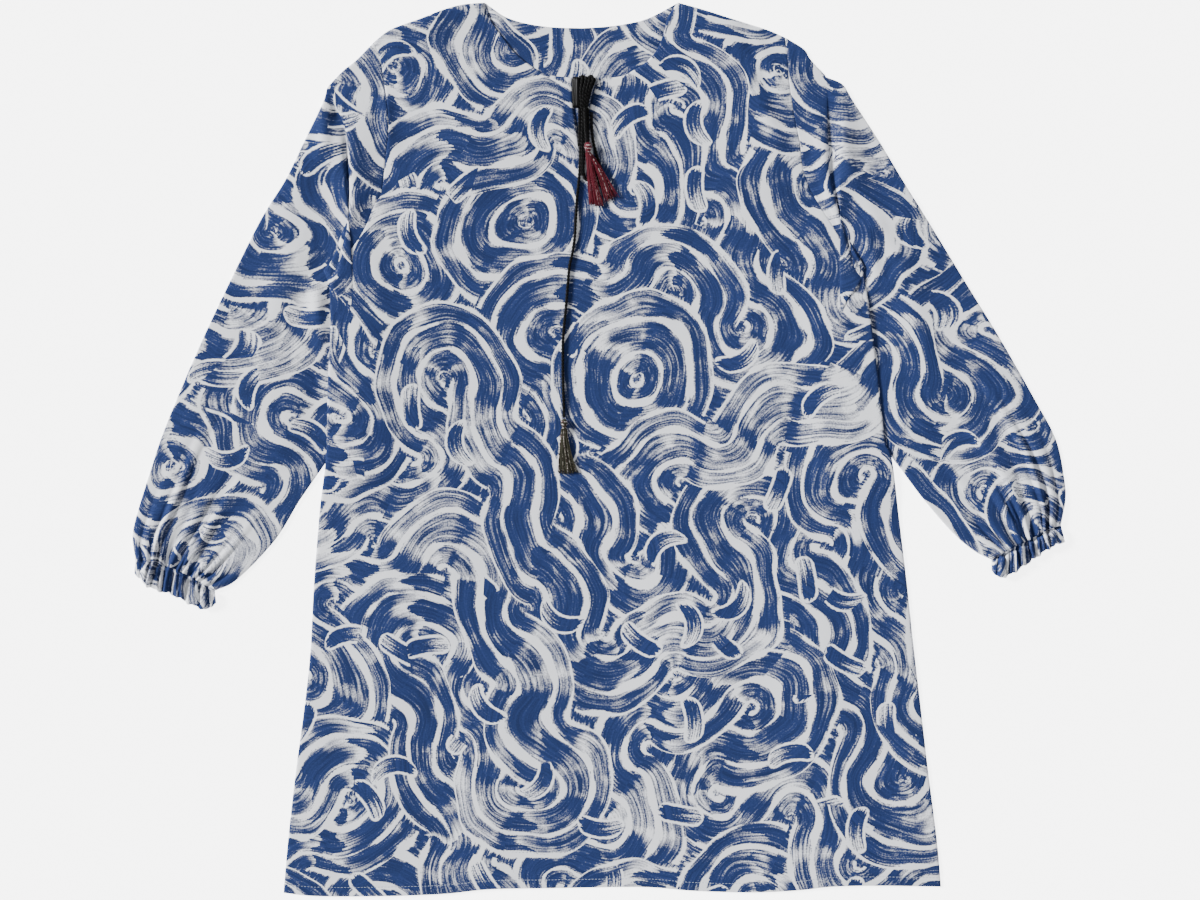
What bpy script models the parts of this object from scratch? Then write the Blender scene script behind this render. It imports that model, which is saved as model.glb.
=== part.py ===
# Long tunic top of printed cloth, laid flat and face up, with a tasselled tie at its neck slit.
# Metres, +Z up. The cloth rests on z = 0, the hem points to -Y, left and right are the viewer's.
import math

import bmesh
import bpy
from mathutils import Matrix, Vector

MM = 0.001

# Cloth
WALL = 1.0 * MM
SEAM_GAP = 0.3 * MM
LAYER = WALL + SEAM_GAP  # middle of one cloth to the middle of the cloth lying on it
BACK_LEVEL = WALL / 2
FRONT_LEVEL = BACK_LEVEL + LAYER
TUCKED_SLEEVE = 2 * LAYER  # how much a sleeve folded under the body lifts it
TUCK_REACH = {
    # edge of what a tucked sleeve lifts: where the rise starts, where it is whole, in millimetres
    "left": (-184, -222), "right": (182, 219), "foot": (-75, -18), "top": (240, 174),
}

# Outlines seen from above, in millimetres, columns x, y
BODY = {
    "hem": [(-301.5, -424), (-270, -427), (-210, -427), (-150, -425), (-105, -420.5), (-50, -419.5),
            (-17, -419), (45, -418.5), (90, -422), (145, -423.5), (190, -421.5), (222, -418),
            (265, -417), (327, -418)],
    "left_side": [(-301.5, -424), (-297, -372), (-290, -310), (-282, -250), (-276, -195), (-272.5, -130),
                  (-267, -60), (-260.5, -5), (-259, 60), (-256.5, 114), (-257.5, 164)],
    "left_armhole": [(-257.5, 164), (-228, 204), (-215, 233), (-208, 246), (-204, 280), (-201, 310),
                     (-205, 349), (-209.5, 375), (-215.5, 389)],
    "left_shoulder": [(-215.5, 389), (-199, 401.5), (-173, 411), (-149, 420.5), (-130, 425.5), (-109, 427.3)],
    "right_side": [(327, -418), (323, -373), (315, -310), (308, -250), (301, -190), (294, -125),
                   (287, -67), (279.5, -8), (273, 9), (267, 66), (257.5, 140), (252.5, 169)],
    "right_armhole": [(252.5, 169), (208, 238), (200, 254), (194, 273), (192, 294), (186.5, 320),
                      (181.5, 356), (180.5, 373), (178, 393.8)],
    "right_shoulder": [(75.6, 427.3), (99.5, 420.5), (129, 411), (160, 401.5), (178, 393.8)],
    "front_neck_left": [(-109, 427.3), (-105, 413), (-92, 394), (-76, 375.5), (-51, 359.5), (-13, 355)],
    "front_neck_right": [(-13, 355), (17, 356.5), (34, 363), (49, 374), (59, 389), (66, 413), (75.6, 427.3)],
    "back_neck_left": [(-109, 427.3), (-92, 415), (-72, 408), (-45, 404), (-16, 403)],
    "back_neck_right": [(-16, 403), (12, 405), (40, 410), (57, 417), (75.6, 427.3)],
}
SLEEVES = {
    "left": {
        "armhole": BODY["left_armhole"][::-1],
        "crease": [(-259, 347), (-248, 323), (-240.5, 302), (-238, 266), (-237.5, 239), (-243, 213),
                   (-253, 184), (-261, 171)],
        "cap_edge": [(-215.5, 389), (-231, 373), (-244, 362.5), (-259, 347)],
        "outer": [(-259, 347), (-264, 331), (-281, 296), (-299.5, 258), (-323, 220), (-352, 162), (-379, 105),
                  (-404, 47), (-419, 9), (-431.5, -29), (-443, -67), (-446, -86), (-443, -104.5)],
        "inner": [(-261, 171), (-254, 152), (-242, 137), (-234, 114), (-232, 81), (-237, 43), (-247, 11),
                  (-260.5, -11), (-286, -48), (-310, -86.5), (-346, -124), (-367.5, -135)],
        "cuff_line": [(-443, -104.5), (-425, -108.5), (-405, -114.5), (-385, -124.5), (-367.5, -135)],
        "cuff_hem": [(-444, -117), (-430, -131.5), (-407, -139), (-390, -148), (-374, -152.5), (-366, -146)],
    },
    "right": {
        "armhole": BODY["right_armhole"][::-1],
        "crease": [(216, 358), (217.5, 339), (218, 294), (220, 263), (228.5, 227), (243, 194), (256, 175.5)],
        "cap_edge": [(178, 393.8), (196, 382.5), (202, 373), (216, 358)],
        "outer": [(216, 358), (233, 349), (242, 334.5), (267, 296), (290, 258), (314, 219.5), (349, 162),
                  (384, 105), (417, 47), (437, 9), (445, -29), (446, -48), (441.5, -72.5)],
        "inner": [(256, 175.5), (248, 155), (237, 140), (230.5, 118), (229, 85), (237, 47), (257, 14),
                  (280.5, -8), (311, -48), (340, -81), (361, -98), (375.5, -105)],
        "cuff_line": [(441.5, -72.5), (428, -77), (410, -87), (392.5, -95.5), (375.5, -105)],
        "cuff_hem": [(445.5, -87.5), (430, -94.5), (413, -106.5), (392, -120), (381, -121.5), (375.5, -115)],
    },
}

# Neck slit
SLIT_HALF_WIDTH = 12.4 * MM
SLIT_BOTTOM = 258 * MM
SLIT_DRAWS = (1.0, 0.66, 0.36, 0.14)  # how much of the opening each column beside it shares

# Grid of the front and back
SHOULDER_COLUMNS = 4
NECK_COLUMNS = 8
SIDE_ROWS = 12
ARMHOLE_ROWS = 11

# Soft folds of the front, in millimetres: the line each runs along, its reach sideways, its height
FRONT_FOLDS = [
    # x0, y0, x1, y1, reach, height
    (-175, 385, -105, 290, 30, 1.6),
    (-150, 250, -185, 60, 34, 1.4),
    (-190, -120, -215, -400, 36, 1.7),
    (-95, -230, -110, -415, 30, 1.2),
    (118, 395, 168, 285, 26, 1.8),
    (135, 240, 165, 40, 34, 1.5),
    (75, -60, 95, -250, 38, 1.2),
    (205, -140, 235, -405, 36, 1.7),
    (30, 250, 55, 90, 30, 1.1),
]
FOLD_END_FADE = 0.6
# The front stays plain under the tie, which is about this far from x = 0 and ends at this y
TIE_X = -16 * MM
TIE_PLAIN = 45 * MM
TIE_FOOT = 190 * MM

# Gathers of a sleeve's upper cloth at the cuff, outer edge first, in millimetres
GATHERS = {
    # reach up the sleeve, height
    "left": [(38, 1.8), (60, 2.6), (96, 3.8), (52, 2.4), (70, 3.0), (44, 2.0), (82, 3.4), (50, 2.4),
             (64, 2.8), (40, 2.2), (34, 1.6)],
    "right": [(34, 1.6), (72, 3.0), (92, 3.8), (56, 2.6), (84, 3.4), (48, 2.2), (62, 2.8), (76, 3.0),
              (46, 2.2), (58, 2.6), (32, 1.6)],
}
UPPER_COLUMNS = 2 * len(GATHERS["left"])
LOWER_COLUMNS = UPPER_COLUMNS // 2
CAP_ROWS = (0, 0.35, 0.7, 1)
SLEEVE_ROWS = (0, 0.07, 0.16, 0.26, 0.36, 0.46, 0.56, 0.65, 0.73, 0.80, 0.865, 0.92, 0.965, 1)
CUFF_ROWS = (0, 0.22, 0.5, 0.8, 1)
CUFF_FULLNESS = (0.8, 1.35, 1.0, 1.35, 0.7)  # height of the puckers at each of those rows
CUFF_LOFT = 0.9 * MM  # the elastic inside holds the casing open by this
ARMHOLE_GAP = 0.4 * MM  # a little over the seam's, for the corners of the grids
CREASE_RUN = 2.6 * MM  # how far the crease's drop takes, seen from above
EDGE_ROUND = 0.5 * MM

# Tie: one thin cord, its ends, loops and knot lying on the front
CORD_RADIUS = 1.5 * MM
CORD_SPACING = 7 * MM
ON_FRONT = FRONT_LEVEL + WALL / 2 + SEAM_GAP
KNOT_ROWS = [
    # y, left x, right x, height, in millimetres
    (357.0, -24.5, -5.0, 4.5),
    (351.0, -26.0, -4.5, 7.0),
    (343.0, -26.0, -6.0, 8.0),
    (333.0, -25.5, -8.5, 7.6),
    (326.5, -24.5, -10.0, 5.0),
]
KNOT_SIDES = 14
# Routes from the knot outwards, columns x, y, height of the cord's middle above the front cloth
LONG_END = [(-17.5, 325.8, 1.5), (-17.8, 312, 1.5), (-17.6, 298, 1.5), (-17.8, 284, 1.5), (-18.4, 268, 1.5),
            (-19.6, 253, 1.5), (-21.2, 238, 1.5), (-22.2, 222, 1.5), (-23.2, 203, 1.5), (-25.4, 188, 1.5),
            (-28.2, 175, 1.5), (-29.8, 158, 1.5), (-31.2, 140, 1.5), (-33.2, 120, 1.5), (-34.4, 104, 1.5),
            (-34.6, 84, 1.5), (-34.4, 64, 1.5), (-33.8, 46, 1.5), (-33.5, 30.5, 1.8)]
SHORT_END = [(-13.5, 325.8, 4.9), (-13.2, 315, 5.0), (-12.6, 304, 5.2), (-11.6, 294, 5.6), (-10.9, 289.6, 6.1)]
LOOPS = {
    "tie_loop_left": [(-14.1, 325.8, 1.5), (-13.9, 310, 1.5), (-13.9, 294, 1.5), (-14.6, 278, 1.5),
                      (-15.0, 266, 1.5), (-12.6, 257.5, 1.5), (-9.2, 261.5, 1.5), (-9.0, 272, 1.5),
                      (-9.9, 284, 1.5), (-10.3, 297, 1.5), (-10.5, 312, 1.5), (-10.7, 325.8, 1.5)],
    "tie_loop_right": [(-7.1, 322.0, 1.5), (-6.9, 308, 1.5), (-5.6, 295, 1.5), (-2.4, 282, 1.5),
                       (1.4, 270, 1.5), (5.0, 259, 1.5), (5.2, 253, 1.5), (1.6, 251.5, 1.5),
                       (-1.4, 258, 1.5), (-4.0, 268, 1.5), (-5.6, 278.5, 1.5)],
}

# Tassels: where each head starts and its skirt ends, with the skirt's widths, in millimetres
TASSELS = {
    "tassel_maroon": {"start": (-10.6, 286.6), "end": (4.5, 231.5), "drop": (6.3, 2.2), "head": 9.5,
                      "widths": (4.8, 25.0), "uneven": 4.0},
    "tassel_olive": {"start": (-33.3, 28.6), "end": (-29.0, -23.0), "drop": (3.0, 1.6), "head": 9.5,
                     "widths": (4.8, 17.5), "uneven": 2.5},
}
HEAD_PROFILE = [
    # share of the head's length from its tip, radius in millimetres
    (0.00, 1.0), (0.06, 1.7), (0.24, 2.5), (0.42, 2.5), (0.58, 1.8), (0.68, 1.9), (0.88, 2.9), (1.00, 3.1),
]
HEAD_SIDES = 10
STRAND_RADIUS = 0.3 * MM
STRAND_LAYERS = 3
STRANDS_ACROSS = 8
STRAND_ROOT = 2.5 * MM  # how far a strand starts inside its head
STRAND_STEPS = (0, 0.3, 0.65, 1)

COLOURS = {
    "printed_cloth": ((0.10, 0.17, 0.40), 0.85),
    "tie_cord": ((0.012, 0.012, 0.014), 0.7),
    "maroon_thread": ((0.22, 0.02, 0.04), 0.6),
    "olive_thread": ((0.10, 0.10, 0.07), 0.6),
}


def clear_scene():
    for thing in list(bpy.data.objects):
        bpy.data.objects.remove(thing)


def material(name):
    """The Principled material of that name, made when it is first asked for."""
    made = bpy.data.materials.get(name)
    if made:
        return made
    made = bpy.data.materials.new(name)
    made.use_nodes = True
    shader = made.node_tree.nodes["Principled BSDF"]
    colour, roughness = COLOURS[name]
    shader.inputs["Base Color"].default_value = (*colour, 1)
    shader.inputs["Roughness"].default_value = roughness
    shader.inputs["Metallic"].default_value = 0
    return made


def add_object(name, data, finish, collection):
    thing = bpy.data.objects.new(name, data)
    data.materials.append(material(finish))
    collection.objects.link(thing)
    return thing


def mesh_object(name, points, faces, finish, collection):
    mesh = bpy.data.meshes.new(name)
    mesh.from_pydata(points, [], faces)
    made = bmesh.new()
    made.from_mesh(mesh)
    bmesh.ops.recalc_face_normals(made, faces=made.faces)
    made.to_mesh(mesh)
    made.free()
    mesh.shade_smooth()
    return add_object(name, mesh, finish, collection)


def ease(start, end, value):
    """0 before start, 1 after end, smooth between them; start may be the larger."""
    share = min(1, max(0, (value - start) / (end - start)))
    return share * share * (3 - 2 * share)


def smooth_line(points, steps=8):
    """Points along a Catmull-Rom curve through the given ones."""
    points = [Vector(p) for p in points]
    row = [2 * points[0] - points[1], *points, 2 * points[-1] - points[-2]]
    line = []
    for a, b, c, d in zip(row, row[1:], row[2:], row[3:]):
        for step in range(steps):
            t = step / steps
            line.append(0.5 * (2 * b + (c - a) * t + (2 * a - 5 * b + 4 * c - d) * t**2
                               + (3 * b - a - 3 * c + d) * t**3))
    line.append(points[-1])
    return line


def at_shares(line, shares):
    """Points at those shares of a line's length."""
    reached = [0.0]
    for a, b in zip(line, line[1:]):
        reached.append(reached[-1] + (b - a).length)
    found = []
    for share in shares:
        goal = min(max(share, 0), 1) * reached[-1]
        i = next(k for k in range(1, len(line)) if reached[k] >= goal - 1e-12)
        span = reached[i] - reached[i - 1]
        found.append(line[i - 1].lerp(line[i], (goal - reached[i - 1]) / span if span else 0))
    return found


def even(count):
    return [i / count for i in range(count + 1)]


def outline(points, shares):
    """An outline's points in metres at those shares of its length."""
    return at_shares(smooth_line([Vector(p) * MM for p in points]), shares)


def patch(near, far, left, right, rows, columns):
    """Rows of points that fill the space between four edges, rows running from near to far."""
    grid = []
    for j, v in enumerate(rows):
        row = []
        for i, u in enumerate(columns):
            across = near[i] * (1 - v) + far[i] * v + left[j] * (1 - u) + right[j] * u
            corners = (near[0] * (1 - u) + near[-1] * u) * (1 - v) + (far[0] * (1 - u) + far[-1] * u) * v
            row.append(across - corners)
        grid.append(row)
    return grid


def beside(line, side, gap):
    """A line's points moved square to it, to the left of its way for side -1 and the right for 1."""
    moved = []
    for i, p in enumerate(line):
        way = (line[min(i + 1, len(line) - 1)] - line[max(i - 1, 0)]).normalized()
        moved.append(p + Vector((-way.y, way.x)) * side * gap)
    return moved


def body_plan(neck):
    """The grid of a front or back seen from above, hem row first."""
    top = outline(BODY["left_shoulder"], even(SHOULDER_COLUMNS))
    top += outline(BODY[neck + "_neck_left"], even(NECK_COLUMNS))[1:]
    top += outline(BODY[neck + "_neck_right"], even(NECK_COLUMNS))[1:]
    top += outline(BODY["right_shoulder"], even(SHOULDER_COLUMNS))[1:]
    hem = outline(BODY["hem"], even(len(top) - 1))
    underarm = 0.72  # share of the garment's length below the underarm
    rows = [share * underarm for share in even(SIDE_ROWS)]
    rows += [underarm + (1 - underarm) * share for share in even(ARMHOLE_ROWS)[1:]]
    edges = []
    for side in ("left", "right"):
        edge = outline(BODY[side + "_side"], even(SIDE_ROWS))
        edges.append(edge + outline(BODY[side + "_armhole"], even(ARMHOLE_ROWS))[1:])
    return patch(hem, top, *edges, rows, even(len(top) - 1))


def lift(x, y):
    """How much a sleeve tucked under the body raises it at a point."""
    rise = {edge: [limit * MM for limit in limits] for edge, limits in TUCK_REACH.items()}
    across = ease(*rise["left"], x) + ease(*rise["right"], x)
    return TUCKED_SLEEVE * across * ease(*rise["foot"], y) * ease(*rise["top"], y)


def fold_height(x, y):
    """Height of the front's soft folds over a point; a fold's ends run out more slowly than its sides."""
    total = 0
    for x0, y0, x1, y1, reach, height in FRONT_FOLDS:
        start, end = Vector((x0, y0)) * MM, Vector((x1, y1)) * MM
        along = end - start
        share = (Vector((x, y)) - start).dot(along) / along.length_squared
        aside = (Vector((x, y)) - start.lerp(end, min(1, max(0, share)))).length / (reach * MM)
        if share < 0 or share > 1:
            aside *= FOLD_END_FADE
        total += height * MM * math.exp(-aside * aside)
    return total


def front_height(x, y):
    """Level of the middle of the front cloth, which lies plain under the tie."""
    away = min(1, math.hypot(x - TIE_X, max(0, TIE_FOOT - y) * 0.3) / TIE_PLAIN)
    return FRONT_LEVEL + lift(x, y) + fold_height(x, y) * away * away


def add_wall(thing):
    wall = thing.modifiers.new("cloth", "SOLIDIFY")
    wall.thickness = WALL
    wall.offset = 0
    wall.use_even_offset = True


def make_back(collection):
    grid = body_plan("back")
    width = len(grid[0])
    points = [(p.x, p.y, BACK_LEVEL + lift(p.x, p.y)) for row in grid for p in row]
    faces = [(j * width + i, j * width + i + 1, (j + 1) * width + i + 1, (j + 1) * width + i)
             for j in range(len(grid) - 1) for i in range(width - 1)]
    add_wall(mesh_object("back", points, faces, "printed_cloth", collection))


def make_front(collection):
    """The front's middle column is doubled above the slit's foot, and its halves are drawn apart."""
    grid = body_plan("front")
    middle = (len(grid[0]) - 1) // 2
    neck_y = grid[-1][middle].y
    points, index = [], {}
    for j, row in enumerate(grid):
        open_here = SLIT_HALF_WIDTH * max(0, (row[middle].y - SLIT_BOTTOM) / (neck_y - SLIT_BOTTOM))
        for i, p in enumerate(row):
            drawn = SLIT_DRAWS[abs(i - middle)] if abs(i - middle) < len(SLIT_DRAWS) else 0
            for side in (-1, 1):
                if side * (i - middle) < 0:
                    continue
                if side == 1 and i == middle and not open_here:
                    index[j, i, 1] = index[j, i, -1]
                    continue
                index[j, i, side] = len(points)
                x = p.x + side * drawn * open_here
                points.append((x, p.y, front_height(x, p.y)))
    faces = []
    for j in range(len(grid) - 1):
        for i in range(len(grid[0]) - 1):
            side = -1 if i < middle else 1
            faces.append(tuple(index[j + a, i + b, side] for a, b in ((0, 0), (0, 1), (1, 1), (1, 0))))
    add_wall(mesh_object("front", points, faces, "printed_cloth", collection))


def flat_tube(name, plan, upper, lower, collection):
    """A flattened tube of cloth. Each row of plan crosses it; upper and lower give the cloth's middle."""
    upper_shares = even(UPPER_COLUMNS)
    lower_shares = even(LOWER_COLUMNS)
    loops = {1: [], -1: []}
    for j, row in enumerate(plan):
        across = (row[-1] - row[0]).normalized()
        tops = [upper(j, share, p) for share, p in zip(upper_shares, row)]
        bottoms = [lower(j, share, p) for share, p in zip(upper_shares[::2], row[::2])]
        for face in (1, -1):
            inset = (EDGE_ROUND if face == 1 else WALL + EDGE_ROUND / 2)
            half = face * WALL / 2
            loop = []
            for k, (p, z) in enumerate(zip(row, tops)):
                shift = across * inset * ((k == 0) - (k == UPPER_COLUMNS))
                loop.append((p.x + shift.x, p.y + shift.y, z + half))
            out = across * (inset - EDGE_ROUND)
            edge_z = (tops[-1] + bottoms[-1]) / 2
            loop.append((row[-1].x - out.x, row[-1].y - out.y, edge_z))
            for k in range(LOWER_COLUMNS, -1, -1):
                p = row[2 * k]
                shift = across * inset * ((k == 0) - (k == LOWER_COLUMNS))
                loop.append((p.x + shift.x, p.y + shift.y, bottoms[k] - half))
            edge_z = (tops[0] + bottoms[0]) / 2
            loop.append((row[0].x + out.x, row[0].y + out.y, edge_z))
            loops[face].append(loop)
    count = len(loops[1][0])
    rows = len(plan)
    points = [p for face in (1, -1) for loop in loops[face] for p in loop]
    start = {1: 0, -1: rows * count}
    faces = []
    for k in range(count):
        after = (k + 1) % count
        for face in (1, -1):
            for j in range(rows - 1):
                a, b = start[face] + j * count, start[face] + (j + 1) * count
                faces.append((a + k, a + after, b + after, b + k))
        for end in (0, (rows - 1) * count):
            faces.append((end + k, end + after, start[-1] + end + after, start[-1] + end + k))
    mesh_object(name, points, faces, "printed_cloth", collection)


def gather_wave(side, share, distance):
    """Height of the gathers at a share of the sleeve's width and a distance from the cuff."""
    place = share * len(GATHERS[side])
    reach, height = GATHERS[side][min(int(place), len(GATHERS[side]) - 1)]
    crest = 0.5 - 0.5 * math.cos(2 * math.pi * place)
    return height * MM * crest * math.exp(-((distance / (reach * MM)) ** 2))


def make_sleeve(side, collection):
    """Cap from the armhole to the crease, the crease's drop, then the sleeve down to its cuff."""
    rim = SLEEVES[side]
    outward = -1 if side == "left" else 1
    columns = even(UPPER_COLUMNS)
    seam = beside(at_shares(outline(rim["armhole"], even(ARMHOLE_ROWS)), columns), outward, ARMHOLE_GAP)
    crest = outline(rim["crease"], columns)
    underarm = [seam[-1].lerp(crest[-1], share) for share in CAP_ROWS]
    plan = patch(seam, crest, outline(rim["cap_edge"], CAP_ROWS), underarm, CAP_ROWS, columns)
    plan[0], plan[-1] = seam, crest
    drop = Vector((outward * CREASE_RUN, -CREASE_RUN * 0.35))
    foot = [p + drop * ease(0, 0.15, share) + Vector((outward, -2)) * MM * (1 - ease(0, 0.15, share))
            for p, share in zip(crest, columns)]
    outer = outline([foot[0] / MM, *rim["outer"][1:]], SLEEVE_ROWS)
    inner = outline([foot[-1] / MM, *rim["inner"][1:]], SLEEVE_ROWS)
    cuff_line = outline(rim["cuff_line"], columns)
    plan += patch(foot, cuff_line, outer, inner, SLEEVE_ROWS, columns)
    length = (foot[UPPER_COLUMNS // 2] - cuff_line[UPPER_COLUMNS // 2]).length

    def upper(j, share, p):
        if j >= len(CAP_ROWS):
            distance = (1 - SLEEVE_ROWS[j - len(CAP_ROWS)]) * length
            return FRONT_LEVEL + gather_wave(side, share, distance)
        crease_rise = TUCKED_SLEEVE * ease(0.02, 0.4, share)
        seam_rise = front_height(p.x, p.y) - FRONT_LEVEL
        return FRONT_LEVEL + seam_rise + (crease_rise - seam_rise) * ease(0, 1, CAP_ROWS[j])

    flat_tube("sleeve_" + side, plan, upper, lambda j, share, p: BACK_LEVEL, collection)


def make_cuff(side, collection):
    """A casing puckered by its elastic, parted from the sleeve's end by the seam's gap."""
    rim = SLEEVES[side]
    columns = even(UPPER_COLUMNS)
    top = outline(rim["cuff_line"], columns)
    hem = outline(rim["cuff_hem"], columns)
    across = (top[-1] - top[0]).normalized()
    down = Vector((across.y, -across.x)) * (1 if side == "left" else -1)
    top = [p + down * SEAM_GAP * 1.3 for p in top]
    ends = [[top[k].lerp(hem[k], share) for share in CUFF_ROWS] for k in (0, -1)]
    plan = patch(top, hem, *ends, CUFF_ROWS, columns)

    def upper(j, share, p):
        return FRONT_LEVEL + CUFF_LOFT * CUFF_ROWS[j] ** 0.3 + CUFF_FULLNESS[j] * gather_wave(side, share, 0)

    flat_tube("cuff_" + side, plan, upper, lambda j, share, p: BACK_LEVEL, collection)


def make_knot(collection):
    """The knot's bundle: rounded sections lying on the front, one for each row."""
    points = []
    for y, left, right, height in KNOT_ROWS:
        for k in range(KNOT_SIDES):
            turn = 2 * math.pi * k / KNOT_SIDES
            x = (left + right) / 2 + (right - left) / 2 * math.cos(turn)
            z = height / 2 + height / 2 * math.sin(turn)
            points.append((x * MM, y * MM, ON_FRONT + z * MM))
    last = (len(KNOT_ROWS) - 1) * KNOT_SIDES
    faces = [tuple(range(KNOT_SIDES)), tuple(last + k for k in range(KNOT_SIDES))]
    for j in range(len(KNOT_ROWS) - 1):
        for k in range(KNOT_SIDES):
            after = (k + 1) % KNOT_SIDES
            a, b = j * KNOT_SIDES, (j + 1) * KNOT_SIDES
            faces.append((a + k, a + after, b + after, b + k))
    mesh_object("tie_knot", points, faces, "tie_cord", collection)


def make_cord(name, route, collection):
    """A round cord along a smooth curve through its route."""
    line = smooth_line([(x * MM, y * MM, ON_FRONT + z * MM) for x, y, z in route])
    length = sum((b - a).length for a, b in zip(line, line[1:]))
    places = at_shares(line, even(max(6, round(length / CORD_SPACING))))
    curve = bpy.data.curves.new(name, "CURVE")
    curve.dimensions = "3D"
    curve.bevel_depth = CORD_RADIUS
    curve.bevel_resolution = 2
    curve.use_fill_caps = True
    spline = curve.splines.new("POLY")
    spline.points.add(len(places) - 1)
    for point, place in zip(spline.points, places):
        point.co = (*place, 1)
    add_object(name, curve, "tie_cord", collection)


def strand_paths(spec):
    """Middle lines of a tassel's strands, in its own frame: x across, y along from the head's tip."""
    length = (Vector(spec["end"]) - Vector(spec["start"])).length
    root_width, end_width = spec["widths"]
    high, low = spec["drop"]
    paths = []
    for layer in range(STRAND_LAYERS):
        for k in range(STRANDS_ACROSS):
            across = (k + 0.5 * (layer % 2) + 0.25) / STRANDS_ACROSS - 0.5
            sway = math.sin(2.4 * k + 1.7 * layer)
            reach = length - spec["uneven"] * (0.5 + 0.5 * math.sin(3.1 * k + 2.3 * layer))
            path = []
            for step in STRAND_STEPS:
                width = root_width + (end_width - root_width) * step**1.15
                x = across * width + 0.35 * sway * step * (1 - step) * end_width / STRANDS_ACROSS
                y = spec["head"] - STRAND_ROOT / MM + (reach - spec["head"]) * step
                root_z = high + (layer - 1) * 1.15
                end_z = low + (layer - 0.6) * 1.1
                path.append(Vector((x, y, root_z + (end_z - root_z) * step**2.2)) * MM)
            paths.append(path)
    return paths


def make_tassel(name, finish, collection, cutters):
    """A turned head with strands fused into its lower end."""
    spec = TASSELS[name]
    start, end = Vector(spec["start"]) * MM, Vector(spec["end"]) * MM
    along = (end - start).normalized()
    frame = Matrix(((along.y, along.x, 0, start.x), (-along.x, along.y, 0, start.y),
                    (0, 0, 1, ON_FRONT), (0, 0, 0, 1)))
    points, faces = [], []
    for path in strand_paths(spec):
        first = len(points)
        for p in path:
            for corner in range(3):
                turn = math.pi / 2 + corner * 2 * math.pi / 3
                points.append(p + Vector((math.cos(turn), 0, math.sin(turn))) * STRAND_RADIUS)
        last = first + 3 * (len(path) - 1)
        faces += [(first, first + 1, first + 2), (last, last + 2, last + 1)]
        for j in range(len(path) - 1):
            a = first + 3 * j
            for corner in range(3):
                after = (corner + 1) % 3
                faces.append((a + corner, a + 3 + corner, a + 3 + after, a + after))
    strands = mesh_object(name + "_strands", points, faces, finish, cutters)
    strands.matrix_world = frame
    strands.display_type = "WIRE"
    strands.hide_render = True

    points, faces = [], []
    for share, radius in HEAD_PROFILE:
        for k in range(HEAD_SIDES):
            turn = 2 * math.pi * k / HEAD_SIDES
            x, z = radius * math.cos(turn), spec["drop"][0] + radius * math.sin(turn)
            points.append(Vector((x, share * spec["head"], z)) * MM)
    rings = len(HEAD_PROFILE)
    for j in range(rings - 1):
        for k in range(HEAD_SIDES):
            after = (k + 1) % HEAD_SIDES
            a, b = j * HEAD_SIDES, (j + 1) * HEAD_SIDES
            faces.append((a + k, a + after, b + after, b + k))
    faces += [tuple(range(HEAD_SIDES)), tuple((rings - 1) * HEAD_SIDES + k for k in range(HEAD_SIDES))]
    head = mesh_object(name, points, faces, finish, collection)
    head.matrix_world = frame
    join = head.modifiers.new("strands", "BOOLEAN")
    join.operation = "UNION"
    join.solver = "EXACT"
    join.object = strands


def main():
    clear_scene()
    tunic = bpy.data.collections.new("tunic_top")
    cutters = bpy.data.collections.new("cutters")
    for collection in (tunic, cutters):
        bpy.context.scene.collection.children.link(collection)
    make_back(tunic)
    make_front(tunic)
    for side in SLEEVES:
        make_sleeve(side, tunic)
        make_cuff(side, tunic)
    make_knot(tunic)
    make_cord("tie_end_long", LONG_END, tunic)
    make_cord("tie_end_short", SHORT_END, tunic)
    for name, route in LOOPS.items():
        make_cord(name, route, tunic)
    make_tassel("tassel_maroon", "maroon_thread", tunic, cutters)
    make_tassel("tassel_olive", "olive_thread", tunic, cutters)


main()
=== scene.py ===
import math
from functools import partial

import bpy
import numpy as np
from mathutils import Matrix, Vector, noise


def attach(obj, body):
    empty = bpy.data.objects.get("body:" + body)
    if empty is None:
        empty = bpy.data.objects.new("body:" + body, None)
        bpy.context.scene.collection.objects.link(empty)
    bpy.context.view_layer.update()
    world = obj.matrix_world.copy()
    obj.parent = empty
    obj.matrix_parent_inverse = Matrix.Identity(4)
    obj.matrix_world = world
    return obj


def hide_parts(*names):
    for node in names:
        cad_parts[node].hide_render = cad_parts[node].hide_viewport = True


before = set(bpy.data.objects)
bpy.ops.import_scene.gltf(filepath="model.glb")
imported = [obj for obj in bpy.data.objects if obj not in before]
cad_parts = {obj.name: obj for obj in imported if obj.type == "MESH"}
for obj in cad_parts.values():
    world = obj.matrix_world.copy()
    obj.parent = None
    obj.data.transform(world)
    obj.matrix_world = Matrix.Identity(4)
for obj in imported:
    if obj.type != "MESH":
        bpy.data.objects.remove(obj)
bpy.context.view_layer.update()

# A tunic top of brush-printed cloth, laid flat and seen from straight above.
# Lengths are in millimetres until a mesh is made; the hem points to -Y and z = 0 is the floor.

mm = 0.001

# Camera

cameraSettings = {"lens": 85, "sensor": 36, "x": 0.001, "y": -0.0005, "height": 2.711}


def makeCamera():
    data = bpy.data.cameras.new("camera")
    data.lens = cameraSettings["lens"]
    data.sensor_width = cameraSettings["sensor"]
    camera = bpy.data.objects.new("camera", data)
    camera.location = (cameraSettings["x"], cameraSettings["y"], cameraSettings["height"])
    bpy.context.scene.collection.objects.link(camera)
    bpy.context.scene.camera = camera


makeCamera()
print("camera set")

# Curves, grids and meshes


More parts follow.
